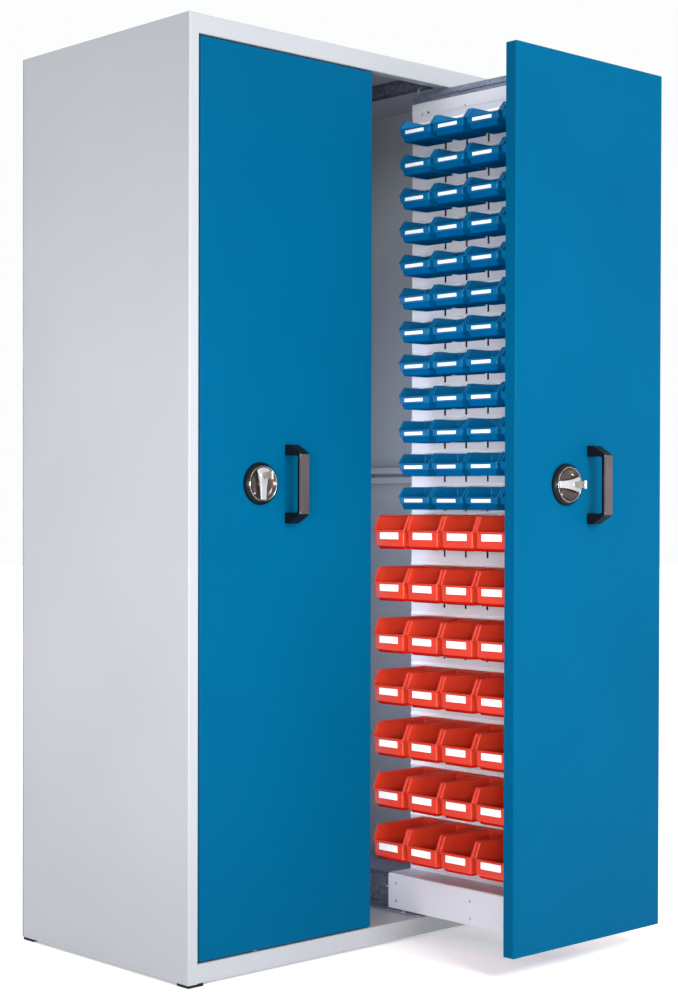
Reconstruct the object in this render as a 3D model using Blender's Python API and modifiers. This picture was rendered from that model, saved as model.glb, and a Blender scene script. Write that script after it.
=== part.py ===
"""Tall steel storage cabinet with two vertical pull-outs, each carrying a louvred panel of hung bins.

Metres, +Z up, +X to the right as seen from the front, +Y from the front towards the rear. The
origin is at floor level below the middle of the rear face. The left pull-out is closed and locked,
the right one is drawn out with its latch open.

Pull-out pieces are modelled in their own frame: x from the pull-out's centre line, y from its front
face towards the rear, z from the floor. An empty at the front face carries that frame.
"""

import math

import bmesh
import bpy
from mathutils import Matrix, Vector

# Casing
WIDTH = 1.000
DEPTH = 0.600
HEIGHT = 1.950
SHEET = 0.0015
GAP = 0.0003
FOOT_SIDE = 0.040
FOOT_HEIGHT = 0.006
BASE = FOOT_HEIGHT + GAP
STILE = 0.025
LIP = 0.025
REAR_FLANGE = 0.020
FLOOR = 0.046
HEAD = 1.910

# Pull-outs
FRONT_WIDTH = 0.4705
FRONT_DEPTH = 0.028
FRONT_BOTTOM = 0.049
FRONT_TOP = 1.907
CENTRE_X = 0.23675
OPEN_BY = {"left": 0.0, "right": 0.42}
PANEL_HALF = 0.010
PANEL_SHEET = 0.0012
PANEL_FRONT = 0.0085
PANEL_REAR = 0.530
PANEL_TOP = 1.871
BEAM_TOP = 1.909
POST_REAR = 0.070
CARRIAGE_HALF = 0.080
CARRIAGE_SHEET = 0.002
CARRIAGE_FRONT = 0.020
CARRIAGE_BOTTOM = 0.0508
CARRIAGE_TOP = 0.130

# Telescopic runners: half heights of the three nested members about RUNNER_Z
RUNNER_SHEET = 0.0016
RUNNER_Z = 0.093
RUNNER_FRONT = 0.030
RUNNER_REAR = 0.528
SUPPORT_HALF = 0.0577
SUPPORT_FOOT = 0.095
MIDDLE_RATIO = 0.5

# Top guide
GUIDE_HALF = 0.0122
GUIDE_TOP = 1.9482
GUIDE_BOTTOM = 1.920
ROLLER_Y = 0.521
ROLLER_RADIUS = 0.0105
ROLLER_LOW = 1.925
ROLLER_HIGH = 1.937
PIN_RADIUS = 0.004

# Side guide on the right-hand wall at half height
SIDE_GUIDE_Z = 1.040
SIDE_GUIDE_HALF = 0.020
SIDE_GUIDE_DEPTH = 0.025
SIDE_GUIDE_SLOT = 0.009

# Swivel latch and its locking rods
LATCH_X = 0.155 - FRONT_WIDTH / 2
LATCH_Z = 1.012
LATCH_TURN = {"left": 0.0, "right": 90.0}
HOUSING_BASE = 0.044
HOUSING_RIM = 0.0375
HOUSING_PROUD = 0.012
BOWL = 0.0355
LEVER_WIDE = 0.0165
LEVER_NARROW = 0.0075
LEVER_LENGTH = 0.067
LEVER_LOW = 0.0055
LEVER_HIGH = 0.0145
SPINDLE_RADIUS = 0.006
CAM_DEPTH = 0.004
CAM_SHEET = 0.003
CAM_LENGTH = 0.060
CAM_WIDTH = 0.018
PLUG_RADIUS = 0.006
KEY_STEPS = {
    "neck": {"from": 0.0125, "to": 0.0195, "half": (0.0011, 0.0040)},
    "shank": {"from": 0.0185, "to": 0.0385, "half": (0.0011, 0.0072)},
    "bow": {"from": 0.0375, "to": 0.0420, "half": (0.0020, 0.0088)},
}
ROD_RADIUS = 0.004
ROD_DEPTH = 0.013
ROD_TRAVEL = 0.012
ROD_INNER_END = 0.016
ROD_CLEARANCE = 0.0008

# Bow handle
HANDLE_X = 0.235 - FRONT_WIDTH / 2
HANDLE_WIDTH = 0.026
HANDLE_BOTTOM = 0.929
HANDLE_TOP = 1.094
HANDLE_PROUD = 0.050
HANDLE_SHOULDER = (0.034, 0.019)
HANDLE_INNER_SLANT = 0.003
HANDLE_ARM = 0.023
HANDLE_GRIP = 0.010

# Bins: reach out from the panel, height, front lip height, foot set back, rim set back
BIN_PITCH = 0.104
BIN_WIDTH = 0.102
BINS_IN_ROW = 4
FIRST_BIN_Y = 0.126
BIN_WALL = 0.0018
HANGER_WIDTH = 0.020
HANGER_SHEET = 0.002
BINS = {
    "blue": {
        "reach": 0.085,
        "height": 0.050,
        "lip": 0.028,
        "foot": 0.010,
        "rim": 0.020,
        "rows": 12,
        "pitch": 0.075,
        "first_bottom": 1.783,
    },
    "red": {
        "reach": 0.160,
        "height": 0.075,
        "lip": 0.042,
        "foot": 0.016,
        "rim": 0.018,
        "rows": 7,
        "pitch": 0.115,
        "first_bottom": 0.8705,
    },
}

CUTTER_REACH = 0.010
ROUND_SIDES = 32
SMALL_SIDES = 20


# Scene and materials


def clear_scene():
    for obj in list(bpy.data.objects):
        bpy.data.objects.remove(obj, do_unlink=True)


def new_collection(name):
    collection = bpy.data.collections.new(name)
    bpy.context.scene.collection.children.link(collection)
    return collection


def linear(value):
    value /= 255
    return value / 12.92 if value <= 0.04045 else ((value + 0.055) / 1.055) ** 2.4


def material(name, rgb, roughness, metallic=0.0):
    made = bpy.data.materials.new(name)
    made.use_nodes = True
    shader = made.node_tree.nodes["Principled BSDF"]
    shader.inputs["Base Color"].default_value = (*map(linear, rgb), 1)
    shader.inputs["Roughness"].default_value = roughness
    shader.inputs["Metallic"].default_value = metallic
    return made


def make_materials():
    return {
        "casing": material("grey_powder_coat", (212, 215, 219), 0.45),
        "front": material("blue_powder_coat", (0, 112, 168), 0.40),
        "panel": material("light_grey_powder_coat", (200, 208, 216), 0.45),
        "steel": material("galvanised_steel", (120, 124, 130), 0.35, 0.9),
        "bright": material("bright_steel", (205, 207, 210), 0.25, 1.0),
        "black": material("black_plastic", (22, 22, 24), 0.45),
        "grip": material("grip_plastic", (40, 39, 41), 0.40),
        "lever": material("silver_diecast", (190, 192, 196), 0.30, 0.9),
        "nylon": material("white_nylon", (225, 225, 222), 0.50),
        "blue": material("blue_polypropylene", (12, 88, 150), 0.42),
        "red": material("red_polypropylene", (222, 42, 34), 0.42),
    }


# Shapes: each helper makes one object in its parent's frame


def place(obj, parent, surface=None, collection=None):
    (collection or PARTS).objects.link(obj)
    obj.parent = parent
    if surface:
        obj.data.materials.append(MATERIALS[surface])
    return obj


def object_of(name, shape):
    mesh = bpy.data.meshes.new(name)
    bmesh.ops.recalc_face_normals(shape, faces=shape.faces)
    shape.to_mesh(mesh)
    shape.free()
    return bpy.data.objects.new(name, mesh)


def box(name, low, high):
    """A closed box between two corners."""
    low, high = Vector(low), Vector(high)
    shape = bmesh.new()
    size = Matrix.Diagonal((*(high - low), 1))
    bmesh.ops.create_cube(shape, size=1, matrix=Matrix.Translation((low + high) / 2) @ size)
    return object_of(name, shape)


AXIS_TURN = {
    "x": Matrix(((0, 0, 1), (1, 0, 0), (0, 1, 0))).to_4x4(),
    "y": Matrix(((1, 0, 0), (0, 0, 1), (0, 1, 0))).to_4x4(),
    "z": Matrix.Identity(4),
}


def on_axis(axis, first, second, along):
    """The point with these two coordinates across the axis, in X, Y, Z order, and this one along it."""
    return AXIS_TURN[axis] @ Vector((first, second, along))


def folded_sheet(name, path, axis, span, thickness):
    """A sheet folded along the path of its middle surface, which runs the whole span of the axis."""
    shape = bmesh.new()
    ends = [[shape.verts.new(on_axis(axis, *point, along)) for point in path] for along in span]
    for (a, b), (c, d) in zip(zip(ends[0], ends[0][1:]), zip(ends[1], ends[1][1:])):
        shape.faces.new((a, b, d, c))
    sheet = object_of(name, shape)
    solid = sheet.modifiers.new("thickness", "SOLIDIFY")
    solid.thickness = thickness
    solid.offset = 0
    solid.use_even_offset = True
    return sheet


def prism(name, outline, axis, span):
    """A closed outline across the axis, extruded over the span."""
    shape = bmesh.new()
    face = shape.faces.new([shape.verts.new(on_axis(axis, *point, span[0])) for point in outline])
    made = bmesh.ops.extrude_face_region(shape, geom=[face])
    moved = [item for item in made["geom"] if isinstance(item, bmesh.types.BMVert)]
    bmesh.ops.translate(shape, verts=moved, vec=on_axis(axis, 0, 0, span[1] - span[0]))
    return object_of(name, shape)


def cylinder(name, centre, radius, axis, span, sides=SMALL_SIDES):
    shape = bmesh.new()
    turn = Matrix(AXIS_TURN[axis])
    middle = on_axis(axis, *centre, (span[0] + span[1]) / 2)
    bmesh.ops.create_cone(
        shape,
        cap_ends=True,
        segments=sides,
        radius1=radius,
        radius2=radius,
        depth=span[1] - span[0],
        matrix=Matrix.Translation(middle) @ turn,
    )
    made = object_of(name, shape)
    smooth(made)
    return made


def turned(name, profile, sides=ROUND_SIDES):
    """A closed profile of (radius, height) points turned about the object's own Z axis."""
    shape = bmesh.new()
    points = [shape.verts.new((radius, 0, height)) for radius, height in profile]
    for a, b in zip(points, points[1:] + points[:1]):
        shape.edges.new((a, b))
    bmesh.ops.spin(
        shape,
        geom=shape.verts[:] + shape.edges[:],
        axis=(0, 0, 1),
        cent=(0, 0, 0),
        angle=math.tau,
        steps=sides,
        use_merge=True,
    )
    bmesh.ops.remove_doubles(shape, verts=shape.verts, dist=0.00001)
    made = object_of(name, shape)
    smooth(made)
    return made


def smooth(obj):
    obj.data.shade_smooth()
    obj.data.set_sharp_from_angle(angle=math.radians(35))


def soften(obj, width, segments=2):
    bevel = obj.modifiers.new("soft_edges", "BEVEL")
    bevel.width = width
    bevel.segments = segments
    bevel.limit_method = "ANGLE"
    bevel.angle_limit = math.radians(40)
    return obj


def combine(obj, other, operation):
    """Cuts other out of obj, or joins it to obj. The second object stays as a hidden helper."""
    other.parent = obj.parent
    if other.name not in CUTTERS.objects:
        CUTTERS.objects.link(other)
    other.hide_render = True
    other.display_type = "WIRE"
    change = obj.modifiers.new(other.name, "BOOLEAN")
    change.operation = operation
    change.object = other
    return obj


def cut(obj, *cutters):
    for cutter in cutters:
        combine(obj, cutter, "DIFFERENCE")
    return obj


def join(obj, *others):
    for other in others:
        combine(obj, other, "UNION")
    return obj


def frame(name, location, parent=None, turn_y=0.0):
    """An empty that carries a body's frame, on the joint's axis."""
    empty = bpy.data.objects.new(name, None)
    empty.empty_display_size = 0.05
    empty.location = location
    empty.rotation_euler.y = math.radians(turn_y)
    return place(empty, parent)


# Casing


def side_panel(side):
    name = "left_side_panel" if side < 0 else "right_side_panel"
    half = SHEET / 2
    wall = side * (WIDTH / 2 - half)
    rear = -SHEET - GAP - half
    front = -DEPTH + half
    stile = side * (WIDTH / 2 - STILE + half)
    path = [
        (side * (WIDTH / 2 - REAR_FLANGE), rear),
        (wall, rear),
        (wall, front),
        (stile, front),
        (stile, -DEPTH + LIP),
    ]
    panel = folded_sheet(name, path, "z", (BASE, HEIGHT), SHEET)
    inner, outer = sorted((side * (WIDTH / 2 - SHEET + GAP / 2), side * (WIDTH / 2 - STILE * 2)))
    room = box(
        name + "_top_room",
        (inner, -DEPTH - CUTTER_REACH, HEIGHT - SHEET - GAP),
        (outer, -DEPTH + LIP * 2, HEIGHT + CUTTER_REACH),
    )
    return cut(place(panel, CASING, "casing"), room)


def stile_rooms(name, low, high):
    """Cutters that clear the two stiles out of a panel that spans the casing."""
    inner = WIDTH / 2 - STILE - GAP
    rooms = []
    for side in (-1, 1):
        left, right = sorted((side * inner, side * WIDTH))
        rooms.append(
            box(
                f"{name}_stile_room_{'left' if side < 0 else 'right'}",
                (left, -DEPTH - CUTTER_REACH, low),
                (right, -DEPTH + LIP + GAP, high),
            )
        )
    return rooms


def strike_hole(name, side, low, high):
    sign = -1 if side == "left" else 1
    centre = (sign * CENTRE_X + LATCH_X, -DEPTH + ROD_DEPTH)
    return cylinder(f"{name}_{side}_strike", centre, ROD_RADIUS + 0.0015, "z", (low, high))


def top_panel():
    half = SHEET / 2
    rear = -2 * (SHEET + GAP) - half
    path = [
        (rear, HEIGHT - REAR_FLANGE),
        (rear, HEIGHT - half),
        (-DEPTH + half, HEIGHT - half),
        (-DEPTH + half, HEAD + half),
        (-DEPTH + LIP, HEAD + half),
    ]
    reach = WIDTH / 2 - SHEET - GAP
    panel = place(folded_sheet("top_panel", path, "x", (-reach, reach), SHEET), CASING, "casing")
    cut(panel, *stile_rooms("top", HEAD - CUTTER_REACH, HEIGHT - SHEET + GAP))
    holes = (strike_hole("top", side, HEAD - 0.01, HEAD + 0.01) for side in OPEN_BY)
    return cut(panel, *holes)


def bottom_panel():
    half = SHEET / 2
    rear = -2 * (SHEET + GAP) - half
    path = [
        (-DEPTH + LIP, BASE + half),
        (-DEPTH + half, BASE + half),
        (-DEPTH + half, FLOOR - half),
        (rear, FLOOR - half),
        (rear, BASE + half),
        (rear - LIP, BASE + half),
    ]
    reach = WIDTH / 2 - SHEET - GAP
    panel = folded_sheet("bottom_panel", path, "x", (-reach, reach), SHEET)
    place(panel, CASING, "casing")
    cut(panel, *stile_rooms("bottom", 0, FLOOR + CUTTER_REACH))
    holes = (strike_hole("bottom", side, FLOOR - 0.01, FLOOR + 0.01) for side in OPEN_BY)
    return cut(panel, *holes)


def foot(depth_name, side):
    name = f"foot_{depth_name}_{'left' if side < 0 else 'right'}"
    left, right = sorted((side * (WIDTH / 2 - 0.001), side * (WIDTH / 2 - 0.001 - FOOT_SIDE)))
    near = -DEPTH + 0.001 if depth_name == "front" else -0.001 - FOOT_SIDE
    pad = box(name, (left, near, 0), (right, near + FOOT_SIDE, FOOT_HEIGHT))
    return place(pad, CASING, "black")


def runner_support(side, centre):
    """Hat section screwed to the floor, with a fixed runner on each of its walls."""
    foot_z = FLOOR + GAP + 0.001
    path = [
        (centre - SUPPORT_FOOT, foot_z),
        (centre - SUPPORT_HALF, foot_z),
        (centre - SUPPORT_HALF, 0.119),
        (centre + SUPPORT_HALF, 0.119),
        (centre + SUPPORT_HALF, foot_z),
        (centre + SUPPORT_FOOT, foot_z),
    ]
    span = (-DEPTH + RUNNER_FRONT, -DEPTH + RUNNER_REAR + 0.040)
    sheet = folded_sheet(f"{side}_runner_support", path, "y", span, 0.002)
    return place(sheet, CASING, "steel")


def top_guide_rail(side, centre):
    """Channel under the top, open downwards, in which the pull-out's guide roller runs."""
    half = SHEET / 2
    path = [
        (centre - GUIDE_HALF, GUIDE_BOTTOM),
        (centre - GUIDE_HALF, GUIDE_TOP - half),
        (centre + GUIDE_HALF, GUIDE_TOP - half),
        (centre + GUIDE_HALF, GUIDE_BOTTOM),
    ]
    rail = folded_sheet(f"{side}_top_guide_rail", path, "y", (-DEPTH + 0.030, -0.020), SHEET)
    return place(rail, CASING, "steel")


def side_guide():
    """Slotted channel along the right-hand wall at half height."""
    wall = WIDTH / 2 - SHEET - GAP - SHEET / 2
    tip = wall - SIDE_GUIDE_DEPTH
    low, high = SIDE_GUIDE_Z - SIDE_GUIDE_HALF, SIDE_GUIDE_Z + SIDE_GUIDE_HALF
    path = [
        (tip, SIDE_GUIDE_Z - SIDE_GUIDE_SLOT / 2),
        (tip, low),
        (wall, low),
        (wall, high),
        (tip, high),
        (tip, SIDE_GUIDE_Z + SIDE_GUIDE_SLOT / 2),
    ]
    rail = folded_sheet("side_guide_rail", path, "y", (-DEPTH + 0.040, -0.030), SHEET)
    return place(rail, CASING, "casing")


# Runners

# Across the pull-out: middle of the web, then the flange tips, and half the height of each member
RUNNER_MEMBERS = {
    "fixed": (0.0598, 0.0725, 0.0332),
    "middle": (0.0640, 0.0752, 0.0302),
    "moving": (0.0769, 0.0670, 0.0268),
}


def runner(side, member, hand, parent, centre=0.0, front=0.0):
    web, tip, half_height = RUNNER_MEMBERS[member]
    sign = -1 if hand == "lhs" else 1
    path = [
        (centre + sign * tip, RUNNER_Z + half_height),
        (centre + sign * web, RUNNER_Z + half_height),
        (centre + sign * web, RUNNER_Z - half_height),
        (centre + sign * tip, RUNNER_Z - half_height),
    ]
    span = (front + RUNNER_FRONT, front + RUNNER_REAR)
    sheet = folded_sheet(f"{side}_runner_{member}_{hand}", path, "y", span, RUNNER_SHEET)
    return place(sheet, parent, "steel")


# Pull-out structure


def front_panel(side, parent):
    """Tray folded back on all four sides, with holes for the latch spindle and the rods."""
    half = SHEET / 2
    shape = bmesh.new()
    low = Vector((-FRONT_WIDTH / 2 + half, half, FRONT_BOTTOM + half))
    high = Vector((FRONT_WIDTH / 2 - half, FRONT_DEPTH, FRONT_TOP - half))
    size = Matrix.Diagonal((*(high - low), 1))
    bmesh.ops.create_cube(shape, size=1, matrix=Matrix.Translation((low + high) / 2) @ size)
    bmesh.ops.recalc_face_normals(shape, faces=shape.faces)
    rear = [face for face in shape.faces if face.normal.y > 0.5]
    bmesh.ops.delete(shape, geom=rear, context="FACES_ONLY")
    tray = object_of(f"{side}_front_panel", shape)
    solid = tray.modifiers.new("thickness", "SOLIDIFY")
    solid.thickness = SHEET
    solid.offset = 0
    solid.use_even_offset = True
    place(tray, parent, "front")
    hole = (LATCH_X, LATCH_Z)
    spindle = cylinder(f"{side}_spindle_hole", hole, SPINDLE_RADIUS + 0.0015, "y", (-0.01, 0.01))
    rod_at = (LATCH_X, ROD_DEPTH)
    rods = [
        cylinder(f"{side}_{end}_rod_hole", rod_at, ROD_RADIUS + 0.001, "z", (z - 0.01, z + 0.01))
        for end, z in (("lower", FRONT_BOTTOM), ("upper", FRONT_TOP))
    ]
    return cut(tray, spindle, *rods)


def front_post(side, parent):
    """Channel behind the front that takes the front edge of the bin panel."""
    half = SHEET / 2
    inner = PANEL_HALF + GAP + half
    front = SHEET + GAP + half
    path = [(-inner, POST_REAR), (-inner, front), (inner, front), (inner, POST_REAR)]
    span = (CARRIAGE_TOP + GAP, PANEL_TOP)
    return place(folded_sheet(f"{side}_front_post", path, "z", span, SHEET), parent, "panel")


def bin_panel(side, parent):
    """Two skins joined at the rear edge; the bins hang on both."""
    inner = PANEL_HALF - PANEL_SHEET / 2
    rear = PANEL_REAR - PANEL_SHEET / 2
    path = [(-inner, PANEL_FRONT), (-inner, rear), (inner, rear), (inner, PANEL_FRONT)]
    span = (CARRIAGE_TOP + GAP, PANEL_TOP)
    return place(folded_sheet(f"{side}_bin_panel", path, "z", span, PANEL_SHEET), parent, "panel")


def top_beam(side, parent):
    """Cap over the bin panel with a narrower rail on it, and the pin of the guide roller."""
    half = SHEET / 2
    wide = PANEL_HALF - half
    narrow = wide - 0.003
    shoulder = 1.898 - half
    path = [
        (-wide, PANEL_TOP + GAP),
        (-wide, shoulder),
        (-narrow, shoulder),
        (-narrow, BEAM_TOP - half),
        (narrow, BEAM_TOP - half),
        (narrow, shoulder),
        (wide, shoulder),
        (wide, PANEL_TOP + GAP),
    ]
    beam = folded_sheet(f"{side}_top_beam", path, "y", (FRONT_DEPTH + GAP, PANEL_REAR), SHEET)
    place(beam, parent, "steel")
    pin_span = (BEAM_TOP - half, ROLLER_HIGH + 0.001)
    pin = cylinder(f"{side}_roller_pin", (0, ROLLER_Y), PIN_RADIUS, "z", pin_span)
    return join(beam, pin)


def guide_roller(side, parent):
    """Roller on the pin of the top beam, in its own frame on the pin's axis."""
    bore = PIN_RADIUS + GAP
    profile = [
        (bore, ROLLER_LOW),
        (ROLLER_RADIUS, ROLLER_LOW),
        (ROLLER_RADIUS, ROLLER_HIGH),
        (bore, ROLLER_HIGH),
    ]
    return place(turned(f"{side}_guide_roller", profile, SMALL_SIDES), parent, "nylon")


def carriage(side, parent):
    """Inverted channel that carries the bin panel and rides on the moving runners."""
    half = CARRIAGE_SHEET / 2
    wall = CARRIAGE_HALF - half
    path = [
        (-wall, CARRIAGE_BOTTOM),
        (-wall, CARRIAGE_TOP - half),
        (wall, CARRIAGE_TOP - half),
        (wall, CARRIAGE_BOTTOM),
    ]
    span = (CARRIAGE_FRONT, PANEL_REAR)
    sheet = folded_sheet(f"{side}_carriage", path, "y", span, CARRIAGE_SHEET)
    return place(sheet, parent, "panel")


def handle(side, parent):
    """Bow with chamfered shoulders, screwed to the front from behind."""
    low, high = HANDLE_BOTTOM, HANDLE_TOP
    proud, arm, slant = HANDLE_PROUD, HANDLE_ARM, HANDLE_INNER_SLANT
    back, rise = HANDLE_SHOULDER
    hollow = proud - HANDLE_GRIP
    outer = [
        (-GAP, low),
        (-proud + back, low),
        (-proud, low + rise),
        (-proud, high - rise),
        (-proud + back, high),
        (-GAP, high),
    ]
    inner = [
        (-GAP, high - arm),
        (-hollow + slant, high - arm),
        (-hollow, high - arm - slant),
        (-hollow, low + arm + slant),
        (-hollow + slant, low + arm),
        (-GAP, low + arm),
    ]
    span = (HANDLE_X - HANDLE_WIDTH / 2, HANDLE_X + HANDLE_WIDTH / 2)
    return place(soften(prism(f"{side}_handle", outer + inner, "x", span), 0.002), parent, "grip")


# Latch: turned about the parent's Y axis, so profiles are turned about Z and laid over


def lay_over(obj):
    """Turns an object that stands on its Z axis so that it stands out of the front, along -Y."""
    obj.data.transform(Matrix.Rotation(math.pi / 2, 4, "X"))
    return obj


def latch_housing(side, parent):
    """Round surface housing with a bowl in which the lever turns."""
    bore = SPINDLE_RADIUS + 0.0005
    profile = [
        (bore, GAP),
        (HOUSING_BASE, GAP),
        (HOUSING_BASE, 0.004),
        (HOUSING_RIM + 0.001, HOUSING_PROUD - 0.001),
        (HOUSING_RIM, HOUSING_PROUD),
        (BOWL, HOUSING_PROUD),
        (BOWL - 0.001, 0.0045),
        (BOWL - 0.005, 0.0030),
        (bore, 0.0030),
    ]
    housing = lay_over(turned(f"{side}_latch_housing", profile))
    housing.location = (LATCH_X, 0, LATCH_Z)
    return place(housing, parent, "black")


def tapered_outline(length, wide, narrow, steps=8):
    """Outline of two round ends joined by straight flanks, with the wide end up."""
    top = Vector((0, length / 2 - wide))
    bottom = Vector((0, -length / 2 + narrow))
    lean = math.asin((wide - narrow) / (top - bottom).length)
    points = []
    for centre, radius, first, last in (
        (top, wide, -lean, math.pi + lean),
        (bottom, narrow, math.pi + lean, math.tau - lean),
    ):
        for step in range(steps + 1):
            angle = first + (last - first) * step / steps
            points.append(centre + radius * Vector((math.cos(angle), math.sin(angle))))
    return points


KEY_Z = LEVER_LENGTH / 2 - LEVER_WIDE


def lever(side, parent):
    """Diecast lever with its spindle, which runs back through the front panel."""
    outline = tapered_outline(LEVER_LENGTH, LEVER_WIDE, LEVER_NARROW)
    body = prism(f"{side}_lever", outline, "y", (-LEVER_HIGH, -LEVER_LOW))
    place(soften(body, 0.0015), parent, "lever")
    reach = (-LEVER_LOW - 0.004, CAM_DEPTH - GAP)
    spindle = cylinder(f"{side}_spindle", (0, 0), SPINDLE_RADIUS, "y", reach)
    bore_span = (-LEVER_HIGH - CUTTER_REACH, -LEVER_LOW + CUTTER_REACH / 4)
    bore = cylinder(f"{side}_plug_bore", (0, KEY_Z), PLUG_RADIUS + GAP, "y", bore_span)
    return cut(join(body, spindle), bore)


def latch_cam(side, parent):
    """Plate on the rear end of the spindle that drives the two rods."""
    outline = tapered_outline(CAM_LENGTH, CAM_WIDTH / 2, CAM_WIDTH / 2 - 0.0001)
    plate = prism(f"{side}_latch_cam", outline, "y", (CAM_DEPTH, CAM_DEPTH + CAM_SHEET))
    return place(plate, parent, "steel")


def key(side, parent):
    """Lock plug and key, in a frame on the plug's axis. The bow stands across the shank."""
    plug = cylinder(f"{side}_key", (0, 0), PLUG_RADIUS, "y", (-LEVER_HIGH - 0.0008, -LEVER_LOW))
    place(plug, parent, "bright")
    steps = []
    for name, step in KEY_STEPS.items():
        thick, tall = step["half"]
        low = (-thick, -step["to"], -tall)
        high = (thick, -step["from"], tall)
        steps.append(box(f"{side}_key_{name}", low, high))
    return join(plug, *steps)


def rod(side, end, parent, retracted):
    """Locking rod behind the front; its frame is at the latch, and it slides away from it."""
    sign = 1 if end == "upper" else -1
    frame_edge = HEAD if end == "upper" else FLOOR
    tip = abs(frame_edge - LATCH_Z) - ROD_CLEARANCE - retracted
    span = sorted((sign * (ROD_INNER_END - retracted), sign * tip))
    bar = cylinder(f"{side}_{end}_rod", (0, ROD_DEPTH), ROD_RADIUS, "z", span, 12)
    return place(bar, parent, "bright")


# Bins


def bin_row(name, kind, sign, parent):
    """One row of bins as an open trough, at the height of the first row. Outward is sign * X."""
    reach, height, lip = kind["reach"], kind["height"], kind["lip"]
    base = kind["first_bottom"]
    back = PANEL_HALF + GAP + HANGER_SHEET / 2
    low_y = FIRST_BIN_Y - BIN_WIDTH / 2
    high_y = low_y + BIN_PITCH * (BINS_IN_ROW - 1) + BIN_WIDTH
    wall = BIN_WALL
    outer = [
        (0, 0),
        (reach - kind["foot"], 0),
        (reach, lip),
        (reach - kind["rim"], height),
        (0, height),
    ]
    slope = kind["foot"] / lip
    inner = [
        (wall, wall),
        (reach - kind["foot"] - wall * (1 - slope), wall),
        (reach - wall - slope * CUTTER_REACH / 4, lip - CUTTER_REACH / 4),
        (reach - wall, height + CUTTER_REACH),
        (wall, height + CUTTER_REACH),
    ]
    solid, hollow = (
        [(out + back, base + up) for out, up in outline] for outline in (outer, inner)
    )
    body = prism(name, [(sign * out, up) for out, up in solid], "y", (low_y, high_y))
    room_span = (low_y + wall, high_y - wall)
    room = prism(name + "_room", [(sign * out, up) for out, up in hollow], "y", room_span)
    place(room, parent, collection=CUTTERS)
    place(body, parent, collection=CUTTERS)
    return cut(body, room)


def bank(side, colour, hand, parent):
    """All rows of one colour on one side of the panel, held by two hanging strips."""
    kind = BINS[colour]
    sign = -1 if hand == "lhs" else 1
    name = f"{side}_{colour}_bins_{hand}"
    row = bin_row(name + "_row", kind, sign, parent)
    stack = row.modifiers.new("rows", "ARRAY")
    stack.count = kind["rows"]
    stack.use_relative_offset = False
    stack.use_constant_offset = True
    stack.constant_offset_displace = (0, 0, -kind["pitch"])
    bottom = kind["first_bottom"] - kind["pitch"] * (kind["rows"] - 1)
    inner, outer = sorted((sign * (PANEL_HALF + GAP), sign * (PANEL_HALF + GAP + HANGER_SHEET)))
    strips = []
    for number in (1, 3):
        middle = FIRST_BIN_Y + BIN_PITCH * (number - 0.5)
        strips.append(
            box(
                f"{name}_strip_{number}",
                (inner, middle - HANGER_WIDTH / 2, bottom + 0.006),
                (outer, middle + HANGER_WIDTH / 2, kind["first_bottom"] + kind["height"] - 0.006),
            )
        )
    first, second = strips
    first.name = name
    first.data.name = name
    place(first, parent, colour)
    return join(first, row, second)


# Assembly


def make_casing():
    for side in (-1, 1):
        side_panel(side)
        foot("front", side)
        foot("rear", side)
    rear = box("back_panel", (-WIDTH / 2, -SHEET, BASE), (WIDTH / 2, 0, HEIGHT))
    place(rear, CASING, "casing")
    top_panel()
    bottom_panel()
    side_guide()
    for side, sign in (("left", -1), ("right", 1)):
        centre = sign * CENTRE_X
        runner_support(side, centre)
        top_guide_rail(side, centre)
        for hand in ("lhs", "rhs"):
            runner(side, "fixed", hand, CASING, centre, -DEPTH)


def make_latch(side, pullout):
    turn = LATCH_TURN[side]
    retracted = ROD_TRAVEL * turn / 90
    latch_housing(side, pullout)
    swivel = frame(f"{side}_latch_axis", (LATCH_X, 0, LATCH_Z), pullout, turn)
    lever(side, swivel)
    latch_cam(side, swivel)
    key(side, frame(f"{side}_key_axis", (0, 0, KEY_Z), swivel, -turn))
    for end in ("upper", "lower"):
        guide = frame(f"{side}_{end}_rod_axis", (LATCH_X, 0, LATCH_Z), pullout)
        rod(side, end, guide, retracted)


def make_pullout(side, sign):
    centre = sign * CENTRE_X
    opened = OPEN_BY[side]
    middle_at = (centre, -DEPTH - opened * MIDDLE_RATIO, 0)
    middle = frame(f"{side}_runner_middle_axis", middle_at, CASING)
    pullout = frame(f"{side}_pullout_axis", (centre, -DEPTH - opened, 0), CASING)
    front_panel(side, pullout)
    front_post(side, pullout)
    bin_panel(side, pullout)
    top_beam(side, pullout)
    carriage(side, pullout)
    handle(side, pullout)
    guide_roller(side, frame(f"{side}_roller_axis", (0, ROLLER_Y, 0), pullout))
    for hand in ("lhs", "rhs"):
        runner(side, "middle", hand, middle)
        runner(side, "moving", hand, pullout)
        for colour in BINS:
            bank(side, colour, hand, pullout)
    make_latch(side, pullout)


clear_scene()
PARTS = new_collection("pull_out_bin_cabinet")
CUTTERS = new_collection("cutters")
CUTTERS.hide_render = True
MATERIALS = make_materials()
CASING = frame("casing_frame", (0, 0, 0))
make_casing()
make_pullout("left", -1)
make_pullout("right", 1)
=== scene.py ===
import math
import random

import bmesh
import bpy
from mathutils import Matrix, Vector


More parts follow.
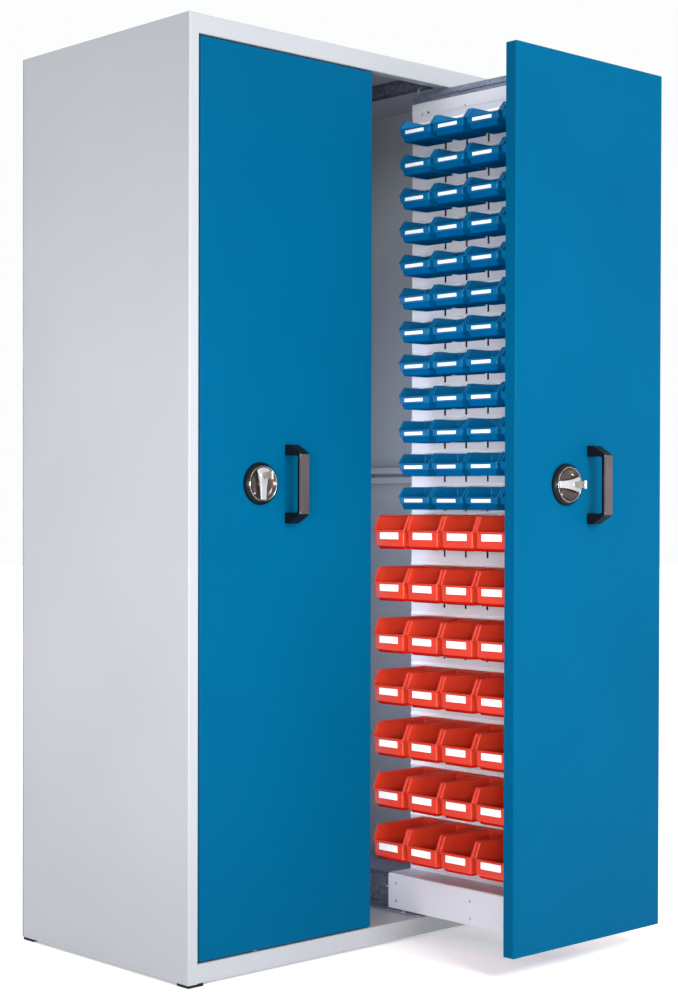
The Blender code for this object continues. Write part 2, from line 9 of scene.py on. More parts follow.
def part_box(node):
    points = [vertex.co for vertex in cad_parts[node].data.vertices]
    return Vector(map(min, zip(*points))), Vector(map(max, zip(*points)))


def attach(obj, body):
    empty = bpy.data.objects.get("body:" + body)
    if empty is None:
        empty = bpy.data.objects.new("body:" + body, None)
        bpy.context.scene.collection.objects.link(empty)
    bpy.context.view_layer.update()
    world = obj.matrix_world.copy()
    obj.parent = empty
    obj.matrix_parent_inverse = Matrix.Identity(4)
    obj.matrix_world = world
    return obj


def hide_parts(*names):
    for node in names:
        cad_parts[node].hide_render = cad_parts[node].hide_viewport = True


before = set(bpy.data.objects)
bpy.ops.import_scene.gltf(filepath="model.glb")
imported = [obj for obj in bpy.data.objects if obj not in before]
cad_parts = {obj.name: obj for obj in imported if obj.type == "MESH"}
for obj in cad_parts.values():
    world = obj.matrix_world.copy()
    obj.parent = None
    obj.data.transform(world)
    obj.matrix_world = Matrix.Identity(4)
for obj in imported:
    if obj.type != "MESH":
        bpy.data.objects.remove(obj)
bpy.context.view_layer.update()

SIDES = ("left", "right")
HANDS = {"lhs": -1, "rhs": 1}

# Sheet metal
SHEET = 0.0015
BEND = 0.0025
RETURN_LIP = 0.025
REAR_FLANGE = 0.020
CORNER_CLEAR = 0.004
STRIKE_HOLE = 0.0058
THROUGH = 0.02
WELD_LAP = (0.0008, 0.0004)
WELD_SHY = 0.0006
WELD_DEPTH = (0.00005, 0.0030)
RIB_HALF = 0.030
RIB_SLOPE = 0.010
RIB_DEPTH = 0.0006
GUIDE_SLOT = 0.0090
GUIDE_SCREWS = (0.08, 0.36, 0.64, 0.92)
FOOT_ROUND = 0.004

# Runners, their support and the carriage
THICK_SHEET = 0.002
SUPPORT_GAP = 0.0003
SUPPORT_BOLTS = (0.04, 0.35, 0.66, 0.96)
SUPPORT_BOLT_IN = 0.0078
RUNNER_SHEET = 0.0016
RUNNER_SCREWS = (0.05, 0.30, 0.62, 0.95)
RUNNER_TIP = 0.0002
TRACK_EDGE = 0.0085
TRACK_SLOPE = 0.0016
TRACK_DEPTH = 0.0010
CARRIAGE_BEND = 0.0035
CARRIAGE_SCREWS = ((0.025, 0.0180), (0.025, 0.0577), (0.2585, 0.0142), (0.2585, 0.0522))

# Front sheet and post
TRAY_FOLD = 0.0032
ROD_HOLE = 0.0050
POST_RIVETS = 8
POST_RIVET_IN = 0.012

# Louvred bin panel: slots below each row of bins and a ledge above it
PANEL_SHEET = 0.0012
PANEL_END = 0.004
SLOT_WIDTH = 0.0065
SLOT_ABOVE = 0.0100
SLOT_PITCH = 0.0667
SLOTS = 6
FIRST_SLOT_FROM_REAR = 0.1073
LEDGE_ABOVE = 0.0008
LEDGE_HEIGHT = 0.0078
LEDGE_PROUD = 0.0052
LEDGE_SINK = 0.0002
# Painted shade: a dark sheet behind each slotted skin stands in for the shade seen through the slots.
SHADE_SHEET_BEHIND = 0.0016
SHADE_SHEET_THICK = 0.0006
PANEL_DOTS = 7
PANEL_DOT_DROP = 0.191
PANEL_DOT_PITCH = 0.2227
PANEL_DOT_IN = 0.2455

# Bins, in the frame of one bin: x out from the panel, y along the row, z up
BINS_IN_ROW = 4
BIN_WIDTH = 0.102
BIN_WALL = 0.0020
BIN_DRAFT = 0.0020
BIN_FOLD = 0.0036
BIN_STRAY = 0.0004
BIN_SWAY = 0.25
FOOT_RIBS = 4
BEAD_SIDES = 8
BEAD_FLAT = 0.62
MERGE = 0.00001
BINS = {
    "blue": {
        "rows": 12,
        "slot": 0.0130,
        "height": 0.050,
        "lip": 0.028,
        "rim": 0.020,
        "foot_height": 0.0115,
        "foot_setback": 0.010,
        "foot_inset": 0.0085,
        "bead": 0.0030,
        "label": (0.057, 0.0078),
        "label_drop": 0.0045,
    },
    "red": {
        "rows": 7,
        "slot": 0.0200,
        "height": 0.075,
        "lip": 0.042,
        "rim": 0.018,
        "foot_height": 0.0060,
        "foot_setback": 0.012,
        "foot_inset": 0.0100,
        "bead": 0.0040,
        "label": (0.058, 0.0150),
        "label_drop": 0.0050,
    },
}

chance = random.Random(11)


# Materials


def linear(value):
    value /= 255
    return value / 12.92 if value <= 0.04045 else ((value + 0.055) / 1.055) ** 2.4


def colour_of(rgb):
    return (*map(linear, rgb), 1)


def look(name, rgb, roughness, **sockets):
    """A principled material. Other sockets are given by name, with _ for a space."""
    made = bpy.data.materials.new(name)
    made.use_nodes = True
    shader = made.node_tree.nodes["Principled BSDF"]
    shader.inputs["Base Color"].default_value = colour_of(rgb)
    shader.inputs["Roughness"].default_value = roughness
    for socket, value in sockets.items():
        shader.inputs[socket.replace("_", " ")].default_value = value
    return made


def pattern(made, scale, stretch=(1, 1, 1), detail=None, kind="ShaderNodeTexNoise"):
    """A texture node in the object's own coordinates."""
    tree = made.node_tree
    place = tree.nodes.new("ShaderNodeTexCoord")
    mapping = tree.nodes.new("ShaderNodeMapping")
    mapping.inputs["Scale"].default_value = stretch
    texture = tree.nodes.new(kind)
    texture.inputs["Scale"].default_value = scale
    if detail is not None:
        texture.inputs["Detail"].default_value = detail
    tree.links.new(place.outputs["Object"], mapping.inputs["Vector"])
    tree.links.new(mapping.outputs["Vector"], texture.inputs["Vector"])
    return texture


def tint(made, source, dark, light, span=(0.3, 0.7)):
    """Colours the surface between two colours by a texture's value."""
    tree = made.node_tree
    ramp = tree.nodes.new("ShaderNodeValToRGB")
    for element, place, rgb in zip(ramp.color_ramp.elements, span, (dark, light)):
        element.position = place
        element.color = colour_of(rgb)
    tree.links.new(source, ramp.inputs["Fac"])
    tree.links.new(ramp.outputs["Color"], tree.nodes["Principled BSDF"].inputs["Base Color"])


def relief(made, source, height, strength=1.0):
    """Bumps the surface by a texture's value, with the height in metres."""
    tree = made.node_tree
    bump = tree.nodes.new("ShaderNodeBump")
    bump.inputs["Distance"].default_value = height
    bump.inputs["Strength"].default_value = strength
    tree.links.new(source, bump.inputs["Height"])
    tree.links.new(bump.outputs["Normal"], tree.nodes["Principled BSDF"].inputs["Normal"])


def polish(made, source, smooth, rough):
    """Varies the roughness by a texture's value."""
    tree = made.node_tree
    spread = tree.nodes.new("ShaderNodeMapRange")
    spread.inputs["To Min"].default_value = smooth
    spread.inputs["To Max"].default_value = rough
    tree.links.new(source, spread.inputs["Value"])
    tree.links.new(spread.outputs["Result"], tree.nodes["Principled BSDF"].inputs["Roughness"])


def powder_coat(name, dark, light, roughness, specular):
    made = look(name, light, roughness, Specular_IOR_Level=specular)
    patches = pattern(made, 2.2, detail=3)
    tint(made, patches.outputs["Fac"], dark, light)
    grain = pattern(made, 650, detail=2)
    relief(made, grain.outputs["Fac"], 0.00012, 0.35)
    polish(made, grain.outputs["Fac"], roughness - 0.06, roughness + 0.06)
    return made


def galvanised(name, dark, light, roughness, metallic=0.35):
    made = look(name, light, roughness, Metallic=metallic)
    spangle = pattern(made, 160, kind="ShaderNodeTexVoronoi")
    tint(made, spangle.outputs["Color"], dark, light, (0.1, 0.9))
    streaks = pattern(made, 40, stretch=(1, 0.04, 1), detail=4)
    polish(made, streaks.outputs["Fac"], roughness - 0.10, roughness + 0.12)
    relief(made, streaks.outputs["Fac"], 0.0001, 0.2)
    return made


def moulded(name, dark, light, roughness, grain_height=0.00006, **sockets):
    made = look(name, light, roughness, **sockets)
    flow = pattern(made, 14, detail=3)
    tint(made, flow.outputs["Fac"], dark, light)
    grain = pattern(made, 1400, detail=2)
    relief(made, grain.outputs["Fac"], grain_height, 0.4)
    polish(made, grain.outputs["Fac"], roughness - 0.05, roughness + 0.07)
    return made


def metal(name, dark, light, roughness, grain_scale=300, metallic=1.0):
    made = look(name, light, roughness, Metallic=metallic)
    brush = pattern(made, grain_scale, detail=4)
    tint(made, brush.outputs["Fac"], dark, light)
    polish(made, brush.outputs["Fac"], roughness - 0.08, roughness + 0.10)
    relief(made, brush.outputs["Fac"], 0.00008, 0.3)
    return made


def paper(name):
    made = look(name, (246, 248, 252), 0.75, Specular_IOR_Level=0.2)
    fibre = pattern(made, 900, detail=5)
    tint(made, fibre.outputs["Fac"], (238, 241, 247), (252, 253, 255))
    relief(made, fibre.outputs["Fac"], 0.00005, 0.3)
    return made


LOOKS = {
    "casing": powder_coat("casing_powder_coat", (156, 159, 164), (161, 164, 169), 0.42, 0.35),
    "front": powder_coat("blue_powder_coat", (0, 76, 111), (0, 80, 116), 0.36, 0.015),
    "panel": powder_coat("panel_powder_coat", (209, 210, 218), (215, 216, 224), 0.45, 0.35),
    # Painted highlight: the ledges are painted lighter than the panel for the light they catch from
    # above.
    "louvre": powder_coat("louvre_painted_highlight", (244, 246, 252), (248, 250, 254), 0.40, 0.35),
    "steel": galvanised("galvanised_steel", (112, 121, 138), (138, 147, 164), 0.42),
    # Darker steel: the runners' own tone, and on the top guide channels painted shade of the casing's
    # top.
    "dark_steel": galvanised("dark_steel_and_painted_shade", (84, 90, 104), (112, 119, 134), 0.45),
    "bright": metal("bright_zinc_steel", (176, 178, 182), (206, 208, 212), 0.26),
    "black": moulded("black_moulded_plastic", (7, 7, 9), (12, 12, 14), 0.30, Specular_IOR_Level=0.18),
    # Painted reflection: a brownish grey metal tone on the glossy bowl stands in for its surroundings
    # reflected in it.
    "bowl": metal("bowl_painted_reflection", (70, 60, 58), (92, 80, 78), 0.24, 90, 0.7),
    "handle": moulded("handle_black_plastic", (7, 8, 11), (12, 12, 16), 0.40, Specular_IOR_Level=0.2),
    # Painted sheen: mid grey for the light that the black grip's front reflects.
    "grip": moulded("grip_painted_sheen", (58, 52, 55), (70, 63, 67), 0.48, 0.00012),
    # Painted highlight: a thin light ring round the bowl's rim stands in for the highlight on the glossy
    # edge.
    "ring": metal("rim_painted_highlight", (176, 178, 182), (205, 207, 210), 0.24),
    "lever": metal("satin_diecast_zinc", (166, 168, 173), (188, 190, 195), 0.44, 700, 0.6),
    "key": metal("nickel_key", (205, 205, 203), (230, 230, 228), 0.40, metallic=0.6),
    "brass": metal("lock_plug_brass", (128, 124, 112), (152, 148, 136), 0.44, metallic=0.5),
    "nylon": moulded("natural_nylon", (220, 219, 214), (230, 229, 224), 0.45),
    # Painted shade: near black for the shade inside holes and slots, used on sheets and heads set where
    # there is only shade.
    "shadow": moulded("painted_shade_near_black", (14, 14, 16), (20, 20, 23), 0.70, Specular_IOR_Level=0.1),
    "blue": moulded("blue_polypropylene", (0, 98, 148), (0, 104, 156), 0.30, Specular_IOR_Level=0.2),
    # Painted shade: the bins' undersides are darker than their bodies for the shade under them and in
    # their ribs.
    "blue_base": moulded("blue_underside_painted_shade", (0, 84, 136), (0, 90, 144), 0.85, Specular_IOR_Level=0.0),
    "red_base": moulded("red_underside_painted_shade", (196, 28, 18), (204, 34, 22), 0.85, Specular_IOR_Level=0.0),
    "red": moulded("red_polypropylene", (212, 56, 34), (218, 63, 40), 0.32),
    "paper": paper("label_paper"),
    "rubber": moulded("black_foot_rubber", (10, 10, 11), (16, 16, 17), 0.6, Specular_IOR_Level=0.2),
}


# Shapes: each helper adds to a bmesh in the row frame, in metres


def on_axis(axis, first, second, along):
    """The point with these two coordinates across the axis, in X, Y, Z order, and this one along it."""
    if axis == "x":
        return Vector((along, first, second))
    if axis == "y":
        return Vector((first, along, second))
    return Vector((first, second, along))


def rounded(points, radius, steps=4, closed=False):
    """The points with their corners rounded."""
    points = [Vector(point) for point in points]
    made = []
    for index, corner in enumerate(points):
        if not closed and index in (0, len(points) - 1):
            made.append(corner)
            continue
        before = points[index - 1] - corner
        after = points[(index + 1) % len(points)] - corner
        turn = before.angle(after)
        if turn > math.pi - 0.03:
            made.append(corner)
            continue
        reach = min(radius / math.tan(turn / 2), before.length * 0.48, after.length * 0.48)
        start = corner + before.normalized() * reach
        end = corner + after.normalized() * reach
        for step in range(steps + 1):
            t = step / steps
            made.append(start * (1 - t) ** 2 + corner * 2 * t * (1 - t) + end * t**2)
    return made


def folded(shape, path, axis, span, bend=BEND, stations=()):
    """Adds the middle surface of a sheet folded along a path."""
    points = rounded(path, bend)
    rows = []
    for along in (span[0], *stations, span[1]):
        rows.append([shape.verts.new(on_axis(axis, *point, along)) for point in points])
    for near, far in zip(rows, rows[1:]):
        for a, b, c, d in zip(near, near[1:], far[1:], far):
            shape.faces.new((a, b, c, d))
    return shape


def drop_faces(shape, test):
    """Removes the faces whose centre passes the test."""
    gone = [face for face in shape.faces if test(face.calc_center_median())]
    bmesh.ops.delete(shape, geom=gone, context="FACES")
    return shape


def prism(shape, outline, axis, span):
    """Adds a closed outline extruded along the axis."""
    ends = []
    for along in span:
        ends.append([shape.verts.new(on_axis(axis, *point, along)) for point in outline])
    shape.faces.new(ends[0])
    shape.faces.new(list(reversed(ends[1])))
    for index in range(len(outline)):
        following = (index + 1) % len(outline)
        shape.faces.new((ends[0][index], ends[1][index], ends[1][following], ends[0][following]))
    return shape


def block(shape, low, high):
    """Adds a closed box between two corners."""
    outline = [(low[0], low[1]), (high[0], low[1]), (high[0], high[1]), (low[0], high[1])]
    return prism(shape, outline, "z", (low[2], high[2]))


def turned(shape, profile, centre, axis, sides=24, flip=1):
    """Adds a profile of (radius, height) points turned about an axis through the centre.

    The height runs along the axis, or against it where flip is -1. Radius 0 closes an end.
    """
    centre = Vector(centre)
    rings = []
    for radius, height in profile:
        if radius == 0:
            rings.append([shape.verts.new(centre + on_axis(axis, 0, 0, flip * height))])
            continue
        ring = []
        for side in range(sides):
            angle = math.tau * side / sides
            first, second = radius * math.cos(angle), radius * math.sin(angle)
            ring.append(shape.verts.new(centre + on_axis(axis, first, second, flip * height)))
        rings.append(ring)
    for near, far in zip(rings, rings[1:]):
        for side in range(sides):
            following = (side + 1) % sides
            corners = [near[side % len(near)], near[following % len(near)]]
            corners += [far[following % len(far)], far[side % len(far)]]
            unique = list(dict.fromkeys(corners))
            if len(unique) > 2:
                shape.faces.new(unique)
    return shape


def pan_head(shape, centre, axis, radius, flip=1):
    """Adds a screw head with a socket."""
    height = radius * 0.62
    profile = [
        (radius, 0), (radius, height * 0.35), (radius * 0.86, height * 0.8),
        (radius * 0.62, height), (radius * 0.46, height), (radius * 0.40, height * 0.45),
        (0, height * 0.40),
    ]
    return turned(shape, profile, centre, axis, 14, flip)


def hex_head(shape, centre, axis, radius, height, flip=1):
    """Adds a hexagon head on a washer."""
    washer = [(radius * 1.35, 0), (radius * 1.35, height * 0.18), (0, height * 0.18)]
    turned(shape, washer, centre, axis, 20, flip)
    head = [(radius, height * 0.18), (radius, height * 0.92), (radius * 0.86, height), (0, height)]
    return turned(shape, head, centre, axis, 6, flip)


def settle(obj):
    """Applies the object's modifiers to its mesh."""
    bpy.context.view_layer.update()
    graph = bpy.context.evaluated_depsgraph_get()
    mesh = bpy.data.meshes.new_from_object(obj.evaluated_get(graph))
    obj.modifiers.clear()
    obj.data = mesh
    return obj


def make_object(name, shape, thickness=0.0, offset=0.0, soft=0.0, segments=2, outward=True):
    """Turns a bmesh into an object, thickened and with softened edges."""
    mesh = bpy.data.meshes.new(name)
    if outward:
        bmesh.ops.recalc_face_normals(shape, faces=shape.faces)
    shape.to_mesh(mesh)
    shape.free()
    obj = bpy.data.objects.new(name, mesh)
    bpy.context.scene.collection.objects.link(obj)
    if thickness:
        solid = obj.modifiers.new("thickness", "SOLIDIFY")
        solid.thickness = thickness
        solid.offset = offset
        solid.use_even_offset = True
    if soft:
        bevel = obj.modifiers.new("soft_edges", "BEVEL")
        bevel.width = soft
        bevel.segments = segments
        bevel.limit_method = "ANGLE"
        bevel.angle_limit = math.radians(40)
    return settle(obj)


def dress(obj, surface, body, nodes=(), sharp=38):
    """Shades a finished object, gives it its material, and lets it ride on a body."""
    obj.data.materials.clear()
    obj.data.materials.append(LOOKS[surface])
    obj.data.shade_smooth()
    obj.data.set_sharp_from_angle(angle=math.radians(sharp))
    weights = obj.modifiers.new("flat_faces", "WEIGHTED_NORMAL")
    weights.keep_sharp = True
    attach(obj, body)
    if nodes:
        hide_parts(*nodes)
    return obj


def piece(name, shape, surface, body, nodes=(), sharp=38, **how):
    """Makes an object of a shape and dresses it."""
    return dress(make_object(name, shape, **how), surface, body, nodes, sharp)


def carve(obj, *cutters):
    """Cuts closed shapes out of an object."""
    for index, cutter in enumerate(cutters):
        tool = make_object(f"{obj.name}_cutter_{index}", cutter)
        change = obj.modifiers.new(tool.name, "BOOLEAN")
        change.operation = "DIFFERENCE"
        change.solver = "EXACT"
        change.object = tool
        settle(obj)
        bpy.data.objects.remove(tool)
    return obj


def drill(centre, axis, radius, length):
    profile = [(0, -length / 2), (radius, -length / 2), (radius, length / 2), (0, length / 2)]
    return turned(bmesh.new(), profile, centre, axis)


def screws(name, body, spots, axis, radius, surface="bright"):
    """One piece with a pan head at every (place, direction)."""
    heads = bmesh.new()
    for place, flip in spots:
        pan_head(heads, place, axis, radius, flip)
    piece(name, heads, surface, body)


def lathe(name, profile, centre, axis, sides, flip=1):
    """A ring turned from a profile that ends where it starts."""
    shape = turned(bmesh.new(), profile, centre, axis, sides, flip)
    bmesh.ops.remove_doubles(shape, verts=shape.verts, dist=MERGE)
    return make_object(name, shape)


def inverted_channel(low, high, half):
    """Section of a channel in a box, open at the bottom, along the middle of its sheet."""
    left, right, top = low.x + half, high.x - half, high.z - half
    return [(left, low.z), (left, top), (right, top), (right, low.z)]


def shares(low, high, parts):
    """The places at these shares of the way from one number to another."""
    return [low + (high - low) * part for part in parts]


# Casing


def casing_side(side, sign):
    node = f"{side}_side_panel"
    low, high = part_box(node)
    half = SHEET / 2
    outer = high.x if sign > 0 else low.x
    wall = outer - sign * half
    stile = outer - sign * (high.x - low.x - half)
    front, rear = low.y + half, high.y - half
    path = [
        (outer - sign * REAR_FLANGE, rear), (wall, rear), (wall, front), (stile, front),
        (stile, low.y + RETURN_LIP),
    ]
    shape = folded(bmesh.new(), path, "z", (low.z, high.z), stations=(high.z - SHEET * 1.2,))
    inner = abs(outer) - SHEET - CORNER_CLEAR
    middle = (low.y + high.y) / 2
    drop_faces(shape, lambda c: c.z > high.z - SHEET and abs(c.x) < inner and c.y < middle)
    piece(f"{side}_casing_side", shape, "casing", "cabinet", [node], thickness=SHEET)


def strike_holes(panel, height):
    """Cuts the holes where the locking rods meet the casing when the pull-outs are in."""
    front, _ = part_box("left_front_panel")
    holes = []
    for side in SIDES:
        low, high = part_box(f"{side}_upper_rod")
        panel_low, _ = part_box(f"{side}_front_panel")
        slid = panel_low.y - front.y
        centre = ((low.x + high.x) / 2, (low.y + high.y) / 2 - slid, height)
        holes.append(drill(centre, "z", STRIKE_HOLE, THROUGH))
    carve(panel, *holes)


def casing_top():
    low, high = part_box("top_panel")
    half = SHEET / 2
    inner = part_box("right_side_panel")[0].x
    path = [
        (high.y - half, high.z - REAR_FLANGE), (high.y - half, high.z - half),
        (low.y + half, high.z - half), (low.y + half, low.z + half),
        (low.y + RETURN_LIP, low.z + half),
    ]
    shape = folded(bmesh.new(), path, "x", (low.x, high.x), stations=(-inner, inner))
    middle = (low.y + high.y) / 2
    drop_faces(shape, lambda c: abs(c.x) > inner and c.y < middle and c.z < high.z - SHEET)
    panel = make_object("casing_top", shape, SHEET)
    strike_holes(panel, low.z)
    dress(panel, "casing", "cabinet", ["top_panel"])


def casing_bottom():
    low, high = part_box("bottom_panel")
    half = SHEET / 2
    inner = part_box("right_side_panel")[0].x
    path = [
        (low.y + RETURN_LIP, low.z + half), (low.y + half, low.z + half),
        (low.y + half, high.z - half), (high.y - half, high.z - half),
        (high.y - half, low.z + half), (high.y - RETURN_LIP, low.z + half),
    ]
    shape = folded(bmesh.new(), path, "x", (low.x, high.x), stations=(-inner, inner))
    drop_faces(shape, lambda c: abs(c.x) > inner and c.y < low.y + RETURN_LIP)
    panel = make_object("casing_bottom", shape, SHEET)
    strike_holes(panel, high.z)
    dress(panel, "casing", "cabinet", ["bottom_panel"])


def corner_welds():
    """Ground welds that close the groove between the stiles and the top and bottom rails."""
    shape = bmesh.new()
    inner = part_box("right_side_panel")[0].x
    for node in ("top_panel", "bottom_panel"):
        low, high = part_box(node)
        for sign in (-1, 1):
            within, past = WELD_LAP
            near, far = sorted((sign * (inner - within), sign * (inner + BEND + past)))
            front, back = (low.y + depth for depth in WELD_DEPTH)
            block(shape, (near, front, low.z + WELD_SHY), (far, back, high.z - WELD_SHY))
    piece("casing_corner_welds", shape, "casing", "cabinet")


def casing_back():
    """Back sheet with two pressed stiffening ribs."""
    low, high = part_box("back_panel")
    middle = (low.y + high.y) / 2
    pressed, crest = middle - RIB_DEPTH, RIB_HALF - RIB_SLOPE
    ribs = []
    for centre in shares(low.z, high.z, (1 / 3, 2 / 3)):
        ribs += [(middle, centre - RIB_HALF), (pressed, centre - crest)]
        ribs += [(pressed, centre + crest), (middle, centre + RIB_HALF)]
    path = [(middle, low.z), *ribs, (middle, high.z)]
    shape = folded(bmesh.new(), path, "x", (low.x, high.x), 0.004)
    back = make_object("casing_back", shape, min(SHEET, high.y - low.y))
    dress(back, "casing", "cabinet", ["back_panel"], 50)


def feet():
    for depth in ("front", "rear"):
        for side in SIDES:
            node = f"foot_{depth}_{side}"
            low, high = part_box(node)
            corners = [(low.x, low.y), (high.x, low.y), (high.x, high.y), (low.x, high.y)]
            outline = rounded(corners, FOOT_ROUND, closed=True)
            shape = prism(bmesh.new(), outline, "z", (low.z, high.z))
            piece(f"{node}_pad", shape, "rubber", "cabinet", [node], soft=0.0008)


def side_guide():
    low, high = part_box("side_guide_rail")
    half = SHEET / 2
    middle = (low.z + high.z) / 2
    path = [
        (low.x + half, middle - GUIDE_SLOT / 2), (low.x + half, low.z + half),
        (high.x - half, low.z + half), (high.x - half, high.z - half),
        (low.x + half, high.z - half), (low.x + half, middle + GUIDE_SLOT / 2),
    ]
    shape = folded(bmesh.new(), path, "y", (low.y, high.y), 0.002)
    piece("side_guide_channel", shape, "casing", "cabinet", ["side_guide_rail"], thickness=SHEET)
    spots = [((high.x - SHEET, y, middle), -1) for y in shares(low.y, high.y, GUIDE_SCREWS)]
    screws("side_guide_screws", "cabinet", spots, "x", 0.0050)


# Fixed parts of each pull-out's guides


def runner_support(side):
    node = f"{side}_runner_support"
    low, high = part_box(node)
    half = THICK_SHEET / 2
    centre = (low.x + high.x) / 2
    runner_low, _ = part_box(f"{side}_runner_fixed_rhs")
    wall = (runner_low.x - centre) - SUPPORT_GAP - half
    foot, top = low.z + half, high.z - half
    path = [
        (low.x, foot), (centre - wall, foot), (centre - wall, top), (centre + wall, top),
        (centre + wall, foot), (high.x, foot),
    ]
    shape = folded(bmesh.new(), path, "y", (low.y, high.y))
    piece(f"{side}_runner_support_hat", shape, "steel", "cabinet", [node], thickness=THICK_SHEET)
    heads = bmesh.new()
    for x in (low.x + SUPPORT_BOLT_IN, high.x - SUPPORT_BOLT_IN):
        for y in shares(low.y, high.y, SUPPORT_BOLTS):
            hex_head(heads, (x, y, low.z + THICK_SHEET), "z", 0.0050, 0.0045)
    piece(f"{side}_support_bolts", heads, "bright", "cabinet")


def top_guide(side):
    node = f"{side}_top_guide_rail"
    low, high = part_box(node)
    path = inverted_channel(low, high, SHEET / 2)
    shape = folded(bmesh.new(), path, "y", (low.y, high.y), 0.002)
    # The channel takes the darker steel as painted shade under the casing's top.
    piece(f"{side}_top_guide_channel", shape, "dark_steel", "cabinet", [node], thickness=SHEET)


def runner(side, member, hand, sign, body):
    """One C-shaped member, with a ribbed web and its screws."""
    node = f"{side}_runner_{member}_{hand}"
    low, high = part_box(node)
    half = RUNNER_SHEET / 2
    web_at_high = (sign > 0) == (member == "moving")
    away = 1 if web_at_high else -1
    web = high.x - half if web_at_high else low.x + half
    tip = low.x + RUNNER_TIP if web_at_high else high.x - RUNNER_TIP
    inset = web - away * TRACK_DEPTH
    top, bottom = high.z - half, low.z + half
    path = [
        (tip, top), (web, top), (web, top - TRACK_EDGE), (inset, top - TRACK_EDGE - TRACK_SLOPE),
        (inset, bottom + TRACK_EDGE + TRACK_SLOPE), (web, bottom + TRACK_EDGE), (web, bottom),
        (tip, bottom),
    ]
    shape = folded(bmesh.new(), path, "y", (low.y, high.y), 0.0018)
    piece(f"{side}_{member}_member_{hand}", shape, "dark_steel", body, [node], thickness=RUNNER_SHEET)
    face, middle = inset - away * half, (low.z + high.z) / 2
    spots = [((face, y, middle), -away) for y in shares(low.y, high.y, RUNNER_SCREWS)]
    screws(f"{side}_{member}_screws_{hand}", body, spots, "x", 0.0034)


# Pull-out structure


def front_tray(side, body):
    """Front sheet folded back on all four sides, with rounded folds and holes for the rods."""
    node = f"{side}_front_panel"
    low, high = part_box(node)
    shape = block(bmesh.new(), low, high)
    bmesh.ops.recalc_face_normals(shape, faces=shape.faces)
    rear = [face for face in shape.faces if face.normal.y > 0.5]
    bmesh.ops.delete(shape, geom=rear, context="FACES_ONLY")
    folds = [edge for edge in shape.edges if len(edge.link_faces) == 2]
    bmesh.ops.bevel(shape, geom=folds, offset=TRAY_FOLD, segments=4, profile=0.5, affect="EDGES")
    tray = make_object(f"{side}_front_tray", shape, SHEET, -1.0)
    rod_low, rod_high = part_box(f"{side}_upper_rod")
    x, y = (rod_low.x + rod_high.x) / 2, (rod_low.y + rod_high.y) / 2
    carve(tray, *(drill((x, y, z), "z", ROD_HOLE, THROUGH) for z in (low.z, high.z)))
    dress(tray, "front", body, [node])


def front_post(side, body):
    node = f"{side}_front_post"
    low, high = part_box(node)
    half = SHEET / 2
    path = [
        (low.x + half, high.y), (low.x + half, low.y + half), (high.x - half, low.y + half),
        (high.x - half, high.y),
    ]
    shape = folded(bmesh.new(), path, "z", (low.z, high.z))
    piece(f"{side}_front_post_channel", shape, "panel", body, [node], thickness=SHEET)
    heights = shares(low.z, high.z, [(step + 0.5) / POST_RIVETS for step in range(POST_RIVETS)])
    spots = []
    for sign, x in ((-1, low.x), (1, high.x)):
        spots += [((x, high.y - POST_RIVET_IN, z), sign) for z in heights]
    screws(f"{side}_post_rivets", body, spots, "x", 0.0042)


def rows_of_bins(side, hand):
    """For each row of bins on one hand of a panel: its underside, its top and the foot of its slots."""
    rows = []
    for colour, kind in BINS.items():
        low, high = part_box(f"{side}_{colour}_bins_{hand}")
        pitch = (high.z - low.z - kind["height"]) / (kind["rows"] - 1)
        for row in range(kind["rows"]):
            bottom = low.z + pitch * row
            rows.append((bottom, bottom + kind["height"], bottom - kind["slot"]))
    return sorted(rows)


def slotted_skin(shape, x, low, high, rows):
    """Adds one skin of the bin panel, with an open slot in every column below each row."""
    columns = [high.y - FIRST_SLOT_FROM_REAR - SLOT_PITCH * step for step in range(SLOTS)]
    edges_y = {low.y, high.y - 0.0006}
    for column in columns:
        edges_y |= {column - SLOT_WIDTH / 2, column + SLOT_WIDTH / 2}
    edges_z = {low.z, high.z}
    for bottom, _, slot_foot in rows:
        edges_z |= {slot_foot, bottom + SLOT_ABOVE}
    along, up = sorted(edges_y), sorted(edges_z)
    grid = [[shape.verts.new((x, y, z)) for z in up] for y in along]
    for i in range(len(along) - 1):
        in_column = any(abs((along[i] + along[i + 1]) / 2 - column) < 0.001 for column in columns)
        for j in range(len(up) - 1):
            middle = (up[j] + up[j + 1]) / 2
            in_row = any(slot_foot < middle < bottom + SLOT_ABOVE for bottom, _, slot_foot in rows)
            if not (in_column and in_row):
                shape.faces.new((grid[i][j], grid[i + 1][j], grid[i + 1][j + 1], grid[i][j + 1]))


def louvre(shape, face, sign, low, high, base):
    """Adds a pressed ledge that stands out of one skin along its whole length."""
    outline = [
        (face, base), (face + sign * LEDGE_PROUD, base + 0.0006),
        (face + sign * LEDGE_PROUD, base + 0.0018),
        (face + sign * LEDGE_PROUD * 0.50, base + LEDGE_HEIGHT * 0.55), (face, base + LEDGE_HEIGHT),
    ]
    prism(shape, outline, "y", (low.y + PANEL_END, high.y - 0.003))


